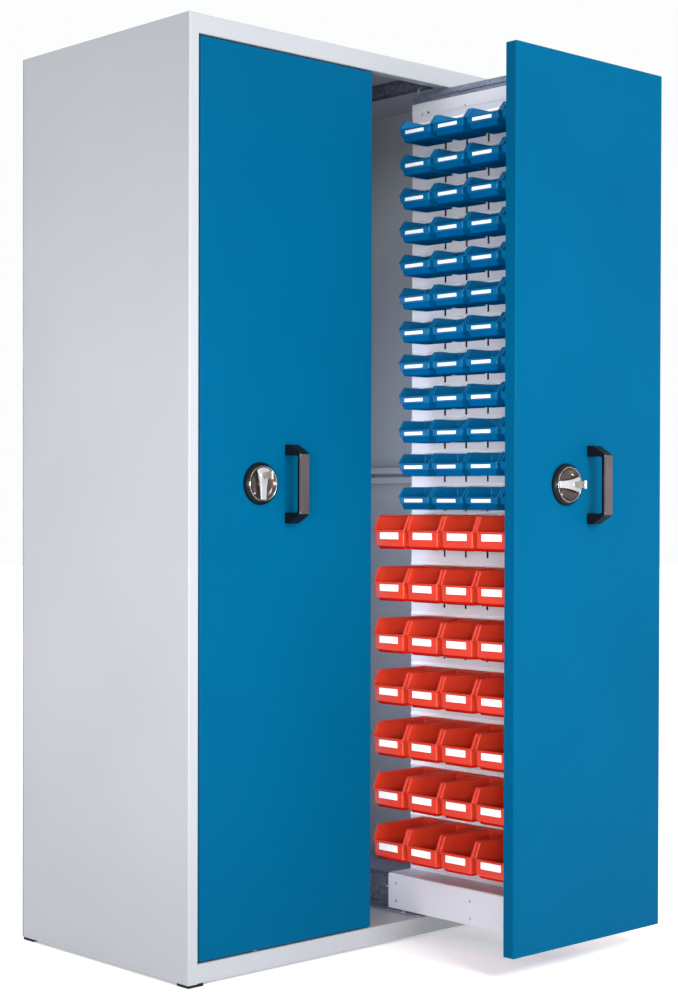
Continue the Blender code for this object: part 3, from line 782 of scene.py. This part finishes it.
def bin_panel(side, body):
    node = f"{side}_bin_panel"
    low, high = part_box(node)
    half = PANEL_SHEET / 2
    shape, shade_sheet, ledges = bmesh.new(), bmesh.new(), bmesh.new()
    dots = []
    for hand, sign in HANDS.items():
        face = high.x if sign > 0 else low.x
        rows = rows_of_bins(side, hand)
        slotted_skin(shape, face - sign * half, low, high, rows)
        # Painted shade: a near-black sheet just behind each skin fills the slots with dark.
        x = face - sign * (PANEL_SHEET + SHADE_SHEET_BEHIND)
        ends = [(x, low.z + PANEL_END), (x, high.z - PANEL_END)]
        folded(shade_sheet, ends, "y", (low.y + PANEL_END, high.y - PANEL_END))
        for _, top, _ in rows:
            louvre(ledges, face - sign * LEDGE_SINK, sign, low, high, top + LEDGE_ABOVE)
        for step in range(PANEL_DOTS):
            z = high.z - PANEL_DOT_DROP - PANEL_DOT_PITCH * step
            dots.append(((face, high.y - PANEL_DOT_IN, z), sign))
    rear = high.y - half
    folded(shape, [(low.x + half, rear), (high.x - half, rear)], "z", (low.z, high.z))
    piece(f"{side}_slotted_panel", shape, "panel", body, [node], thickness=PANEL_SHEET, outward=False)
    piece(f"{side}_panel_core", shade_sheet, "shadow", body, thickness=SHADE_SHEET_THICK, outward=False)
    # The ledges carry a lighter coat as painted highlight.
    piece(f"{side}_panel_louvres", ledges, "louvre", body, soft=0.0005)
    # Painted shade: the dots down the panel are near-black heads that stand in for the shade in rivet
    # holes.
    screws(f"{side}_panel_rivets", body, dots, "x", 0.0017, "shadow")


BAND_BELOW = 0.0140
BAND_ABOVE = 0.0140
BAND_GAP = 0.0004
BAND_SHEET = 0.0008
BAND_RIVETS = ((0.0354, 0.0114), (0.1712, 0.0093), (0.30, 0.0093), (0.43, 0.0093))
BAND_HOLE = (0.0528, 0.010)
ROLLER_PIN = 0.029


def top_beam(side, body):
    """Light band over the head of the panel, and the grooved dark rail on it."""
    node = f"{side}_top_beam"
    low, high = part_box(node)
    centre = (low.x + high.x) / 2
    panel_low, panel_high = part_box(f"{side}_bin_panel")
    half_width = (panel_high.x - panel_low.x) / 2
    seam, edge = panel_high.z - BAND_BELOW, panel_high.z + BAND_ABOVE
    reach = half_width + BAND_GAP
    left, right = centre - reach, centre + reach
    path = [(left, seam), (left, edge), (right, edge), (right, seam)]
    band = folded(bmesh.new(), path, "y", (low.y, high.y + 0.0002), 0.0012)
    piece(f"{side}_panel_head_band", band, "panel", body, thickness=BAND_SHEET)
    beam_top = high.z - ROLLER_PIN
    wide, narrow = half_width - 0.0010, half_width - 0.0042
    steps = [
        (wide, edge + 0.0006), (wide, edge + 0.0060), (narrow, edge + 0.0068),
        (narrow, edge + 0.0098), (wide, edge + 0.0106), (wide, edge + 0.0166),
        (narrow, edge + 0.0174), (narrow, beam_top),
    ]
    outline = [(centre + x, z) for x, z in steps] + [(centre - x, z) for x, z in reversed(steps)]
    rail = prism(bmesh.new(), outline, "y", (low.y, high.y))
    wheel_low, wheel_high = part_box(f"{side}_guide_roller")
    axle = ((wheel_low.x + wheel_high.x) / 2, (wheel_low.y + wheel_high.y) / 2, 0)
    pin = [(0.0040, beam_top - 0.001), (0.0040, high.z - 0.0006), (0.0034, high.z), (0, high.z)]
    turned(rail, pin, axle, "z", 20)
    piece(f"{side}_top_rail", rail, "steel", body, [node], soft=0.0004)
    rivets, holes = [], []
    for sign in (-1, 1):
        x = centre + sign * (reach + BAND_SHEET / 2)
        rivets += [((x, high.y - back, panel_high.z - drop), sign) for back, drop in BAND_RIVETS]
        holes.append(((x, high.y - BAND_HOLE[0], panel_high.z - BAND_HOLE[1]), sign))
    screws(f"{side}_band_rivets", body, rivets, "x", 0.0026)
    # Painted shade: near-black heads stand in for the shade inside the band's holes.
    screws(f"{side}_band_holes", body, holes, "x", 0.0026, "shadow")


def guide_roller(side):
    node = f"{side}_guide_roller"
    low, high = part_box(node)
    centre = ((low.x + high.x) / 2, (low.y + high.y) / 2, low.z)
    radius, height = (high.x - low.x) / 2, high.z - low.z
    profile = [
        (0.0043, 0.0006), (0.0052, 0), (radius - 0.0014, 0), (radius, 0.0014),
        (radius, height * 0.36), (radius - 0.0012, height * 0.46), (radius - 0.0012, height * 0.54),
        (radius, height * 0.64), (radius, height - 0.0014), (radius - 0.0014, height),
        (0.0052, height), (0.0043, height - 0.0006), (0.0043, 0.0006),
    ]
    wheel = lathe(f"{node}_wheel", profile, centre, "z", 28)
    dress(wheel, "nylon", f"{side}_guide_roller", [node])


def carriage(side, body):
    node = f"{side}_carriage"
    low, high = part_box(node)
    path = inverted_channel(low, high, THICK_SHEET / 2)
    shape = folded(bmesh.new(), path, "y", (low.y, high.y), CARRIAGE_BEND)
    piece(f"{side}_carriage_channel", shape, "panel", body, [node], thickness=THICK_SHEET)
    spots = []
    for sign, x in ((-1, low.x), (1, high.x)):
        spots += [((x, high.y - back, low.z + up), sign) for back, up in CARRIAGE_SCREWS]
    screws(f"{side}_carriage_screws", body, spots, "x", 0.0030)


# Handle

HANDLE_ARM = 0.023
HANDLE_GRIP = 0.010
HANDLE_SHOULDER = (0.034, 0.019)
HANDLE_INNER_SLANT = 0.003
PAD_WRAP = 0.0018


def handle(side, body):
    """Bow handle with long sloped shoulders, and a grey pad that wraps the front of the grip as painted
    sheen.
    """
    node = f"{side}_handle"
    low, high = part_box(node)
    front = low.y
    back, rise = HANDLE_SHOULDER
    outer = [
        (high.y, low.z), (front + back, low.z), (front, low.z + rise), (front, high.z - rise),
        (front + back, high.z), (high.y, high.z),
    ]
    inside, slant = front + HANDLE_GRIP, HANDLE_INNER_SLANT
    inner = [
        (high.y, high.z - HANDLE_ARM), (inside + slant, high.z - HANDLE_ARM),
        (inside, high.z - HANDLE_ARM - slant), (inside, low.z + HANDLE_ARM + slant),
        (inside + slant, low.z + HANDLE_ARM), (high.y, low.z + HANDLE_ARM),
    ]
    outline = [Vector(outer[0])]
    outline += rounded(outer, 0.012, 3)[1:-1]
    outline += [Vector(outer[-1]), Vector(inner[0])]
    outline += rounded(inner, 0.003, 2)[1:-1]
    outline.append(Vector(inner[-1]))
    shape = prism(bmesh.new(), outline, "x", (low.x, high.x))
    piece(f"{side}_bow_handle", shape, "handle", body, [node], 50, soft=0.0018, segments=3)
    centre, half = (low.x + high.x) / 2, (high.x - low.x) / 2 + 0.0003
    crown = [
        (centre - half, front + PAD_WRAP), (centre - half, front + 0.0016),
        (centre - half + 0.0018, front - 0.0001), (centre, front - 0.0003),
        (centre + half - 0.0018, front - 0.0001), (centre + half, front + 0.0016),
        (centre + half, front + PAD_WRAP),
    ]
    pad = prism(bmesh.new(), crown, "z", (low.z + rise + 0.0015, high.z - rise - 0.0015))
    # The grey pad is painted sheen on the grip's front.
    piece(f"{side}_grip_insert", pad, "grip", body, sharp=60, soft=0.0004)


# Latch


def latch_centre(side):
    low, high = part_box(f"{side}_latch_housing")
    return Vector(((low.x + high.x) / 2, high.y, (low.z + high.z) / 2))


DISH_RADIUS = 0.0352
DISH_FLOOR = 0.0032
DISH_HUB = 0.0075
DISH_HOLE = 0.0066
DISH_BACK = 0.0006
DISH_STEPS = 16
DISH_SCREWS = (230, 50)
DISH_SCREW_OUT = 0.0265
RIM_PROUD = 0.0120
LATCH_SIDES = 56


def dish_height(radius):
    """How far the floor of the latch bowl stands out of the front at this radius."""
    return DISH_FLOOR + (RIM_PROUD - 0.0012 - DISH_FLOOR) * (radius / DISH_RADIUS) ** 8


def latch_housing(side, body):
    node = f"{side}_latch_housing"
    centre = latch_centre(side)
    collar = [
        (DISH_RADIUS + 0.0010, 0), (0.0436, 0), (0.0440, 0.0010), (0.0438, 0.0036),
        (0.0422, 0.0068), (0.0398, 0.0100), (0.0380, RIM_PROUD - 0.0004), (0.0370, RIM_PROUD),
        (DISH_RADIUS + 0.0010, RIM_PROUD), (DISH_RADIUS + 0.0010, 0),
    ]
    outer = lathe(f"{side}_latch_collar", collar, centre, "y", LATCH_SIDES, -1)
    dress(outer, "black", body, [node], 50)
    bowl = [(DISH_HOLE, DISH_BACK), (DISH_HOLE, DISH_FLOOR)]
    for part in range(DISH_STEPS + 1):
        radius = DISH_HUB + (DISH_RADIUS - DISH_HUB) * part / DISH_STEPS
        bowl.append((radius, dish_height(radius)))
    edge = DISH_RADIUS + 0.0009
    bowl += [(edge, RIM_PROUD - 0.0012), (edge, DISH_BACK), (DISH_HOLE, DISH_BACK)]
    dish = lathe(f"{side}_latch_bowl", bowl, centre, "y", LATCH_SIDES, -1)
    # The bowl's tone is painted reflection on a glossy surface.
    dress(dish, "bowl", body, sharp=60)
    ring = [
        (DISH_RADIUS + 0.0001, RIM_PROUD - 0.0010), (DISH_RADIUS + 0.0001, RIM_PROUD + 0.0002),
        (DISH_RADIUS + 0.0005, RIM_PROUD + 0.0005), (DISH_RADIUS + 0.0009, RIM_PROUD + 0.0005),
        (DISH_RADIUS + 0.0013, RIM_PROUD + 0.0001), (DISH_RADIUS + 0.0013, RIM_PROUD - 0.0010),
        (DISH_RADIUS + 0.0001, RIM_PROUD - 0.0010),
    ]
    rim = lathe(f"{side}_latch_rim", ring, centre, "y", LATCH_SIDES, -1)
    # The rim ring is a painted highlight along the bowl's edge.
    dress(rim, "ring", body)
    spots = []
    for angle in DISH_SCREWS:
        turn = math.radians(angle)
        across = Vector((math.cos(turn), 0, math.sin(turn))) * DISH_SCREW_OUT
        spots.append((centre + across - Vector((0, dish_height(DISH_SCREW_OUT), 0)), -1))
    screws(f"{side}_latch_screws", body, spots, "y", 0.0030)


LEVER_LENGTH = 0.067
LEVER_WIDE = 0.0165
LEVER_NARROW = 0.0072
LEVER_BACK = 0.0086
LEVER_FACE = 0.0140
LEVER_FLARE = 2.3
LEVER_STEPS = 10
KEY_OFFSET = LEVER_LENGTH / 2 - LEVER_WIDE


def lever_turn(side):
    """Turn of the lever about the latch's axis, from the side on which its key stands."""
    centre = latch_centre(side)
    low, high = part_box(f"{side}_key")
    key = Vector(((low.x + high.x) / 2, 0, (low.z + high.z) / 2))
    return math.atan2(key.x - centre.x, key.z - centre.z)


def lever_outline():
    """Flared blade: a straight narrow end, hollow flanks and a bowed wide end."""
    flank = []
    for step in range(LEVER_STEPS + 1):
        t = step / LEVER_STEPS
        half = LEVER_NARROW + (LEVER_WIDE - LEVER_NARROW) * t**LEVER_FLARE
        flank.append((half, -LEVER_LENGTH / 2 + (LEVER_LENGTH - 0.0050) * t))
    end = [(LEVER_WIDE * 0.55, LEVER_LENGTH / 2 - 0.0016), (0, LEVER_LENGTH / 2)]
    right = flank + end
    return right + [(-x, z) for x, z in reversed(right[:-1])]


def placed(points, side):
    """Points of the latch's own plane, turned with the lever and set on its axis."""
    centre = latch_centre(side)
    turn = lever_turn(side)
    cosine, sine = math.cos(turn), math.sin(turn)
    return [(centre.x + x * cosine + z * sine, centre.z - x * sine + z * cosine) for x, z in points]


def latch_lever(side):
    node = f"{side}_lever"
    centre = latch_centre(side)
    face = centre.y - LEVER_FACE
    shape = prism(bmesh.new(), placed(lever_outline(), side), "y", (face, centre.y - LEVER_BACK))
    blade = make_object(f"{side}_lever_blade", shape, soft=0.0013, segments=3)
    key_x, key_z = placed([(0, KEY_OFFSET)], side)[0]
    carve(blade, drill((key_x, face, key_z), "y", 0.0062, 0.006))
    dress(blade, "lever", f"{side}_latch_lever", [node], 45)
    extras = bmesh.new()
    spindle = [(0, 0.0010), (0.0060, 0.0010), (0.0060, LEVER_BACK + 0.0005), (0, LEVER_BACK + 0.0005)]
    turned(extras, spindle, centre, "y", 24, -1)
    ring = [
        (0.0064, LEVER_FACE - 0.0012), (0.0064, LEVER_FACE + 0.0007), (0.0070, LEVER_FACE + 0.0010),
        (0.0082, LEVER_FACE + 0.0010), (0.0089, LEVER_FACE + 0.0002), (0.0089, LEVER_FACE - 0.0012),
        (0.0064, LEVER_FACE - 0.0012),
    ]
    turned(extras, ring, (key_x, centre.y, key_z), "y", 32, -1)
    bmesh.ops.remove_doubles(extras, verts=extras.verts, dist=MERGE)
    piece(f"{side}_lever_boss", extras, "lever", f"{side}_latch_lever")


CAM_LENGTH = 0.030
CAM_WIDTH = 0.009
CAM_SWEEP = 10
CAM_PIN_SHARE = 0.7


def latch_cam(side):
    """Cam plate behind the front with its two pins, which stop short of the rods."""
    node = f"{side}_latch_cam"
    low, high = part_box(node)
    rod_low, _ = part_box(f"{side}_upper_rod")
    proud = (rod_low.y - high.y) * CAM_PIN_SHARE
    throw = CAM_LENGTH - CAM_WIDTH
    outline = []
    for centre_z, first in ((throw, 0), (-throw, 180)):
        for step in range(CAM_SWEEP + 1):
            angle = math.radians(first + 180 * step / CAM_SWEEP)
            outline.append((CAM_WIDTH * math.cos(angle), centre_z + CAM_WIDTH * math.sin(angle)))
    shape = prism(bmesh.new(), placed(outline, side), "y", (low.y, high.y))
    pin = [(0.0028, 0), (0.0028, proud * 0.6), (0.0024, proud), (0, proud)]
    for x, z in placed([(0, throw), (0, -throw)], side):
        turned(shape, pin, (x, high.y, z), "y", 16)
    piece(f"{side}_cam_plate", shape, "steel", f"{side}_latch_lever", [node], soft=0.0003)


KEY_BAR = (0.0019, 0.0045, 0.0087)
KEY_SHOULDER = 0.0188
KEY_NECK_HALF = 0.0038
KEY_PLATE_HALF = 0.0071
KEY_PLATE_THICK = 0.0011


def key(side):
    """Lock plug, and a flat key with a cross bar at its end."""
    node = f"{side}_key"
    low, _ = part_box(node)
    centre = latch_centre(side)
    x, z = placed([(0, KEY_OFFSET)], side)[0]
    plug = [
        (0, LEVER_FACE - 0.0030), (0.0062, LEVER_FACE - 0.0030), (0.0062, LEVER_FACE + 0.0008),
        (0.0057, LEVER_FACE + 0.0013), (0.0026, LEVER_FACE + 0.0013), (0, LEVER_FACE + 0.0010),
    ]
    shape = turned(bmesh.new(), plug, (x, centre.y, z), "y", 28, -1)
    piece(f"{side}_lock_plug", shape, "brass", f"{side}_key")
    thick, deep, tall = KEY_BAR
    root, shoulder = centre.y - LEVER_FACE + 0.0010, centre.y - KEY_SHOULDER
    end = low.y + deep - 0.0010
    outline = [
        (root, z - KEY_NECK_HALF), (root, z + KEY_NECK_HALF), (shoulder, z + KEY_NECK_HALF),
        (shoulder - 0.0010, z + KEY_PLATE_HALF), (end, z + KEY_PLATE_HALF),
        (end, z - KEY_PLATE_HALF), (shoulder - 0.0010, z - KEY_PLATE_HALF),
        (shoulder, z - KEY_NECK_HALF),
    ]
    thickness = (x - KEY_PLATE_THICK, x + KEY_PLATE_THICK)
    plate = prism(bmesh.new(), rounded(outline, 0.0012, 2, True), "x", thickness)
    blade = make_object(f"{side}_key_blade", plate, soft=0.0003)
    carve(blade, drill((x, end + 0.0045, z), "x", 0.0020, 0.01))
    dress(blade, "brass", f"{side}_key", [node])
    corners = [
        (low.y, z - tall), (low.y, z + tall), (low.y + deep, z + tall), (low.y + deep, z - tall),
    ]
    bar = prism(bmesh.new(), rounded(corners, 0.0012, 3, True), "x", (x - thick, x + thick))
    piece(f"{side}_key_bar", bar, "key", f"{side}_key", soft=0.0005)


def rods(side):
    for end in ("upper", "lower"):
        node = f"{side}_{end}_rod"
        low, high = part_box(node)
        centre = ((low.x + high.x) / 2, (low.y + high.y) / 2, 0)
        radius = (high.x - low.x) / 2
        profile = [
            (0, low.z), (radius - 0.0012, low.z), (radius, low.z + 0.0016),
            (radius, high.z - 0.0016), (radius - 0.0012, high.z), (0, high.z),
        ]
        shape = turned(bmesh.new(), profile, centre, "z", 18)
        piece(f"{side}_{end}_bolt_rod", shape, "bright", node, [node])


# Bins


def bin_shell(kind, reach):
    """Open-fronted bin body: floor, back, front wall and two sides that slope down to it."""
    base = kind["foot_height"]
    height, lip = kind["height"], kind["lip"]
    bead = kind["bead"]
    half_top = BIN_WIDTH / 2 - bead
    front = reach - bead * 0.6
    profile = [
        (0.0006, height - 0.0010), (0.0006, base), (front - 0.0015, base), (front, lip - 0.0010),
        (reach - kind["rim"], height - 0.0010),
    ]
    shape = bmesh.new()
    walls = []
    for sign in (-1, 1):
        wall = []
        for out, up in profile:
            half = half_top - BIN_DRAFT * (height - up) / height
            wall.append(shape.verts.new((out, sign * half, up)))
        shape.faces.new(wall)
        walls.append(wall)
    for index in range(3):
        corners = (walls[0][index], walls[0][index + 1], walls[1][index + 1], walls[1][index])
        shape.faces.new(corners)
    bmesh.ops.recalc_face_normals(shape, faces=shape.faces)
    folds = [edge for edge in shape.edges if len(edge.link_faces) == 2]
    bmesh.ops.bevel(shape, geom=folds, offset=BIN_FOLD, segments=2, profile=0.5, affect="EDGES")
    return make_object("bin_shell", shape, BIN_WALL, -1.0, outward=False)


def bin_foot(kind, reach):
    """The narrower ribbed stacking foot under one bin."""
    shape = bmesh.new()
    top = kind["foot_height"] + 0.0012
    half = BIN_WIDTH / 2 - kind["foot_inset"]
    front_top = reach - kind["bead"] * 0.6 - 0.0030
    front_bottom = reach - kind["foot_setback"]
    rings = []
    for up, out, width in ((0, front_bottom, half - 0.0012), (top, front_top, half)):
        corners = [(0.0030, -width), (out, -width), (out, width), (0.0030, width)]
        rings.append([shape.verts.new((*point, up)) for point in rounded(corners, 0.004, 2, True)])
    shape.faces.new(list(reversed(rings[0])))
    shape.faces.new(rings[1])
    count = len(rings[0])
    for index in range(count):
        following = (index + 1) % count
        shape.faces.new((rings[0][index], rings[0][following], rings[1][following], rings[1][index]))
    for step in range(FOOT_RIBS):
        out = 0.010 + (front_bottom - 0.020) * step / (FOOT_RIBS - 1)
        block(shape, (out, -half + 0.006, -0.0004), (out + 0.0014, half - 0.006, 0.0004))
    return loose_mesh(shape, "foot")


def bin_rim(shape, kind, reach):
    """Adds the rounded bead round the open top, down the slopes and over the front lip."""
    bead = kind["bead"]
    half = BIN_WIDTH / 2 - bead
    height, lip = kind["height"], kind["lip"]
    front = reach - bead
    top = height - bead * 0.55
    corners = [
        (front, -half, lip - bead * 0.4), (front, half, lip - bead * 0.4),
        (reach - kind["rim"], half, top), (0.0032, half, top), (0.0032, -half, top),
        (reach - kind["rim"], -half, top),
    ]
    path = rounded(corners, 0.0045, 3, True)
    count = len(path)
    rings = []
    for index, point in enumerate(path):
        along = (path[(index + 1) % count] - path[index - 1]).normalized()
        across = along.cross(Vector((0, 0, 1))).normalized()
        up = across.cross(along).normalized()
        ring = []
        for side in range(BEAD_SIDES):
            angle = math.tau * (side + 0.5) / BEAD_SIDES
            offset = across * bead * math.cos(angle) + up * bead * BEAD_FLAT * math.sin(angle)
            ring.append(shape.verts.new(point + offset))
        rings.append(ring)
    for index in range(count):
        near, far = rings[index], rings[(index + 1) % count]
        for side in range(BEAD_SIDES):
            following = (side + 1) % BEAD_SIDES
            shape.faces.new((near[side], near[following], far[following], far[side]))


def label_holder(shape, kind, reach):
    """Adds the two thin rails that hold the label on the front wall."""
    width, height = kind["label"]
    top = kind["lip"] - kind["label_drop"]
    face = reach - kind["bead"] * 0.6
    for up in (top + 0.0002, top - height - 0.0012):
        low = (face - 0.0015, -width / 2 - 0.0015, up)
        high = (face + 0.0008, width / 2 + 0.0015, up + 0.0010)
        block(shape, low, high)


def bin_mesh(kind, reach):
    """The mesh of one whole bin."""
    shell = bin_shell(kind, reach)
    extras = bmesh.new()
    bin_rim(extras, kind, reach)
    label_holder(extras, kind, reach)
    rest = make_object("bin_rest", extras)
    whole = bmesh.new()
    for part in (shell, rest):
        whole.from_mesh(part.data)
        bpy.data.objects.remove(part)
    mesh = bpy.data.meshes.new("bin")
    whole.to_mesh(mesh)
    whole.free()
    return mesh


def loose_mesh(shape, name):
    """The mesh of a shape that is copied into every bin's place."""
    single = make_object(name, shape)
    mesh = single.data
    bpy.data.objects.remove(single)
    return mesh


def label_mesh(kind, reach):
    """The paper label of one bin, a thin card with rounded corners."""
    width, height = kind["label"]
    top = kind["lip"] - kind["label_drop"]
    corners = [
        (-width / 2, top - height), (width / 2, top - height), (width / 2, top), (-width / 2, top),
    ]
    face = reach - kind["bead"] * 0.6
    outline = rounded(corners, 0.0006, 1, True)
    return loose_mesh(prism(bmesh.new(), outline, "x", (face - 0.0008, face + 0.0005)), "label")


def bank(side, colour, hand, sign, body):
    """All the bins of one colour on one hand of a panel, each a little out of line."""
    kind = BINS[colour]
    node = f"{side}_{colour}_bins_{hand}"
    low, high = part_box(node)
    inner = low.x if sign > 0 else high.x
    reach = high.x - low.x
    pitch_y = (high.y - low.y - BIN_WIDTH) / (BINS_IN_ROW - 1)
    pitch_z = (high.z - low.z - kind["height"]) / (kind["rows"] - 1)
    singles = {
        "shells": (bin_mesh(kind, reach), colour, [node]),
        # The feet take the darker underside colour, painted shade.
        "feet": (bin_foot(kind, reach), f"{colour}_base", []),
        "labels": (label_mesh(kind, reach), "paper", []),
    }
    facing = Matrix.Identity(4) if sign > 0 else Matrix.Rotation(math.pi, 4, "Z")
    places = []
    for row in range(kind["rows"]):
        for place in range(BINS_IN_ROW):
            y = low.y + BIN_WIDTH / 2 + pitch_y * place + chance.uniform(-BIN_STRAY, BIN_STRAY)
            at = Vector((inner, y, low.z + pitch_z * row))
            sway = Matrix.Rotation(math.radians(chance.uniform(-BIN_SWAY, BIN_SWAY)), 4, "Z")
            places.append(Matrix.Translation(at) @ sway @ facing)
    for part, (mesh, surface, nodes) in singles.items():
        whole = bmesh.new()
        for where in places:
            fresh = mesh.copy()
            fresh.transform(where)
            whole.from_mesh(fresh)
            bpy.data.meshes.remove(fresh)
        piece(f"{node}_{part}", whole, surface, body, nodes, 50, outward=False)


# The whole object


def pull_out(side):
    body = f"{side}_pullout"
    front_tray(side, body)
    front_post(side, body)
    bin_panel(side, body)
    top_beam(side, body)
    guide_roller(side)
    carriage(side, body)
    handle(side, body)
    latch_housing(side, body)
    latch_lever(side)
    latch_cam(side)
    key(side)
    rods(side)
    for hand, sign in HANDS.items():
        carriers = {"fixed": "cabinet", "middle": f"{side}_runner_middle", "moving": body}
        for member, carrier in carriers.items():
            runner(side, member, hand, sign, carrier)
        for colour in BINS:
            bank(side, colour, hand, sign, body)


def casing():
    casing_side("left", -1)
    casing_side("right", 1)
    casing_top()
    casing_bottom()
    corner_welds()
    casing_back()
    feet()
    side_guide()
    for side in SIDES:
        runner_support(side)
        top_guide(side)


# Studio

FLOOR_SIZE = 40
FLOOR_GLOW = 0.30
SKY = (0.975, 0.98, 0.985, 1)
WHITE = (1, 1, 1)
BAY_TINT = (0.80, 0.92, 1.15)


def studio_floor():
    made = look("studio_floor", (247, 247, 248), 0.7, Specular_IOR_Level=0.1)
    shader = made.node_tree.nodes["Principled BSDF"]
    shader.inputs["Emission Color"].default_value = (1, 1, 1, 1)
    shader.inputs["Emission Strength"].default_value = FLOOR_GLOW
    soft = pattern(made, 3, detail=2)
    tint(made, soft.outputs["Fac"], (246, 246, 247), (248, 248, 249))
    half = FLOOR_SIZE / 2
    mesh = bpy.data.meshes.new("studio_floor")
    corners = [(-half, -half, 0), (half, -half, 0), (half, half, 0), (-half, half, 0)]
    mesh.from_pydata(corners, [], [(0, 1, 2, 3)])
    floor = bpy.data.objects.new("studio_floor", mesh)
    bpy.context.scene.collection.objects.link(floor)
    floor.data.materials.append(made)


# Each light: place, target, size, power, spread in degrees, seen by the camera, colour
LIGHTS = {
    "key_softbox": ((-3.8, -3.9, 0.95), (-0.2, -0.7, 0.95), (2.4, 0.8), 11, 34, True, WHITE),
    "front_softbox": ((-0.6, -5.0, 3.2), (0.1, -0.7, 0.9), (1.6, 1.6), 190, 180, True, WHITE),
    "bay_softbox": ((-0.03, -0.32, 0.8), (0.5, -0.28, 0.8), (0.3, 1.3), 2.2, 180, False, BAY_TINT),
}


def softbox(name, place, target, size, power, spread, seen, colour):
    lamp = bpy.data.lights.new(name, "AREA")
    lamp.shape = "RECTANGLE"
    lamp.size, lamp.size_y = size
    lamp.energy = power
    lamp.color = colour
    lamp.spread = math.radians(spread)
    obj = bpy.data.objects.new(name, lamp)
    bpy.context.scene.collection.objects.link(obj)
    obj.location = place
    obj.rotation_euler = (Vector(target) - Vector(place)).to_track_quat("-Z", "Y").to_euler()
    obj.visible_camera = seen


def lights():
    world = bpy.data.worlds.new("studio_world")
    world.use_nodes = True
    sky = world.node_tree.nodes["Background"]
    sky.inputs["Color"].default_value = SKY
    sky.inputs["Strength"].default_value = 1.0
    bpy.context.scene.world = world
    for name, setting in LIGHTS.items():
        softbox(name, *setting)


# Camera: the place and turn that a pinhole fit to the casing's corners gives

CAMERA_AT = Vector((-2.8200, -3.6152, 0.9801))
CAMERA_AZIMUTH = -44.30
CAMERA_ELEVATION = 0.64
CAMERA_ROLL = 0.16
CAMERA_LENS = 68.28
CAMERA_SHIFT = (-0.0734, 0.0207)


def camera():
    azimuth, elevation = math.radians(CAMERA_AZIMUTH), math.radians(CAMERA_ELEVATION)
    level = Vector((math.sin(azimuth), -math.cos(azimuth), 0)) * math.cos(elevation)
    back = level + Vector((0, 0, math.sin(elevation)))
    right = Vector((0, 0, 1)).cross(back).normalized()
    up = back.cross(right)
    turn = Matrix((right, up, back)).transposed() @ Matrix.Rotation(math.radians(CAMERA_ROLL), 3, "Z")
    data = bpy.data.cameras.new("camera")
    data.lens = CAMERA_LENS
    data.sensor_width = 36
    data.shift_x, data.shift_y = CAMERA_SHIFT
    obj = bpy.data.objects.new("camera", data)
    bpy.context.scene.collection.objects.link(obj)
    obj.matrix_world = Matrix.Translation(CAMERA_AT) @ turn.to_4x4()
    bpy.context.scene.camera = obj


casing()
for side in SIDES:
    pull_out(side)
studio_floor()
lights()
camera()
bpy.context.scene.view_settings.view_transform = "Standard"

bpy.context.view_layer.update()
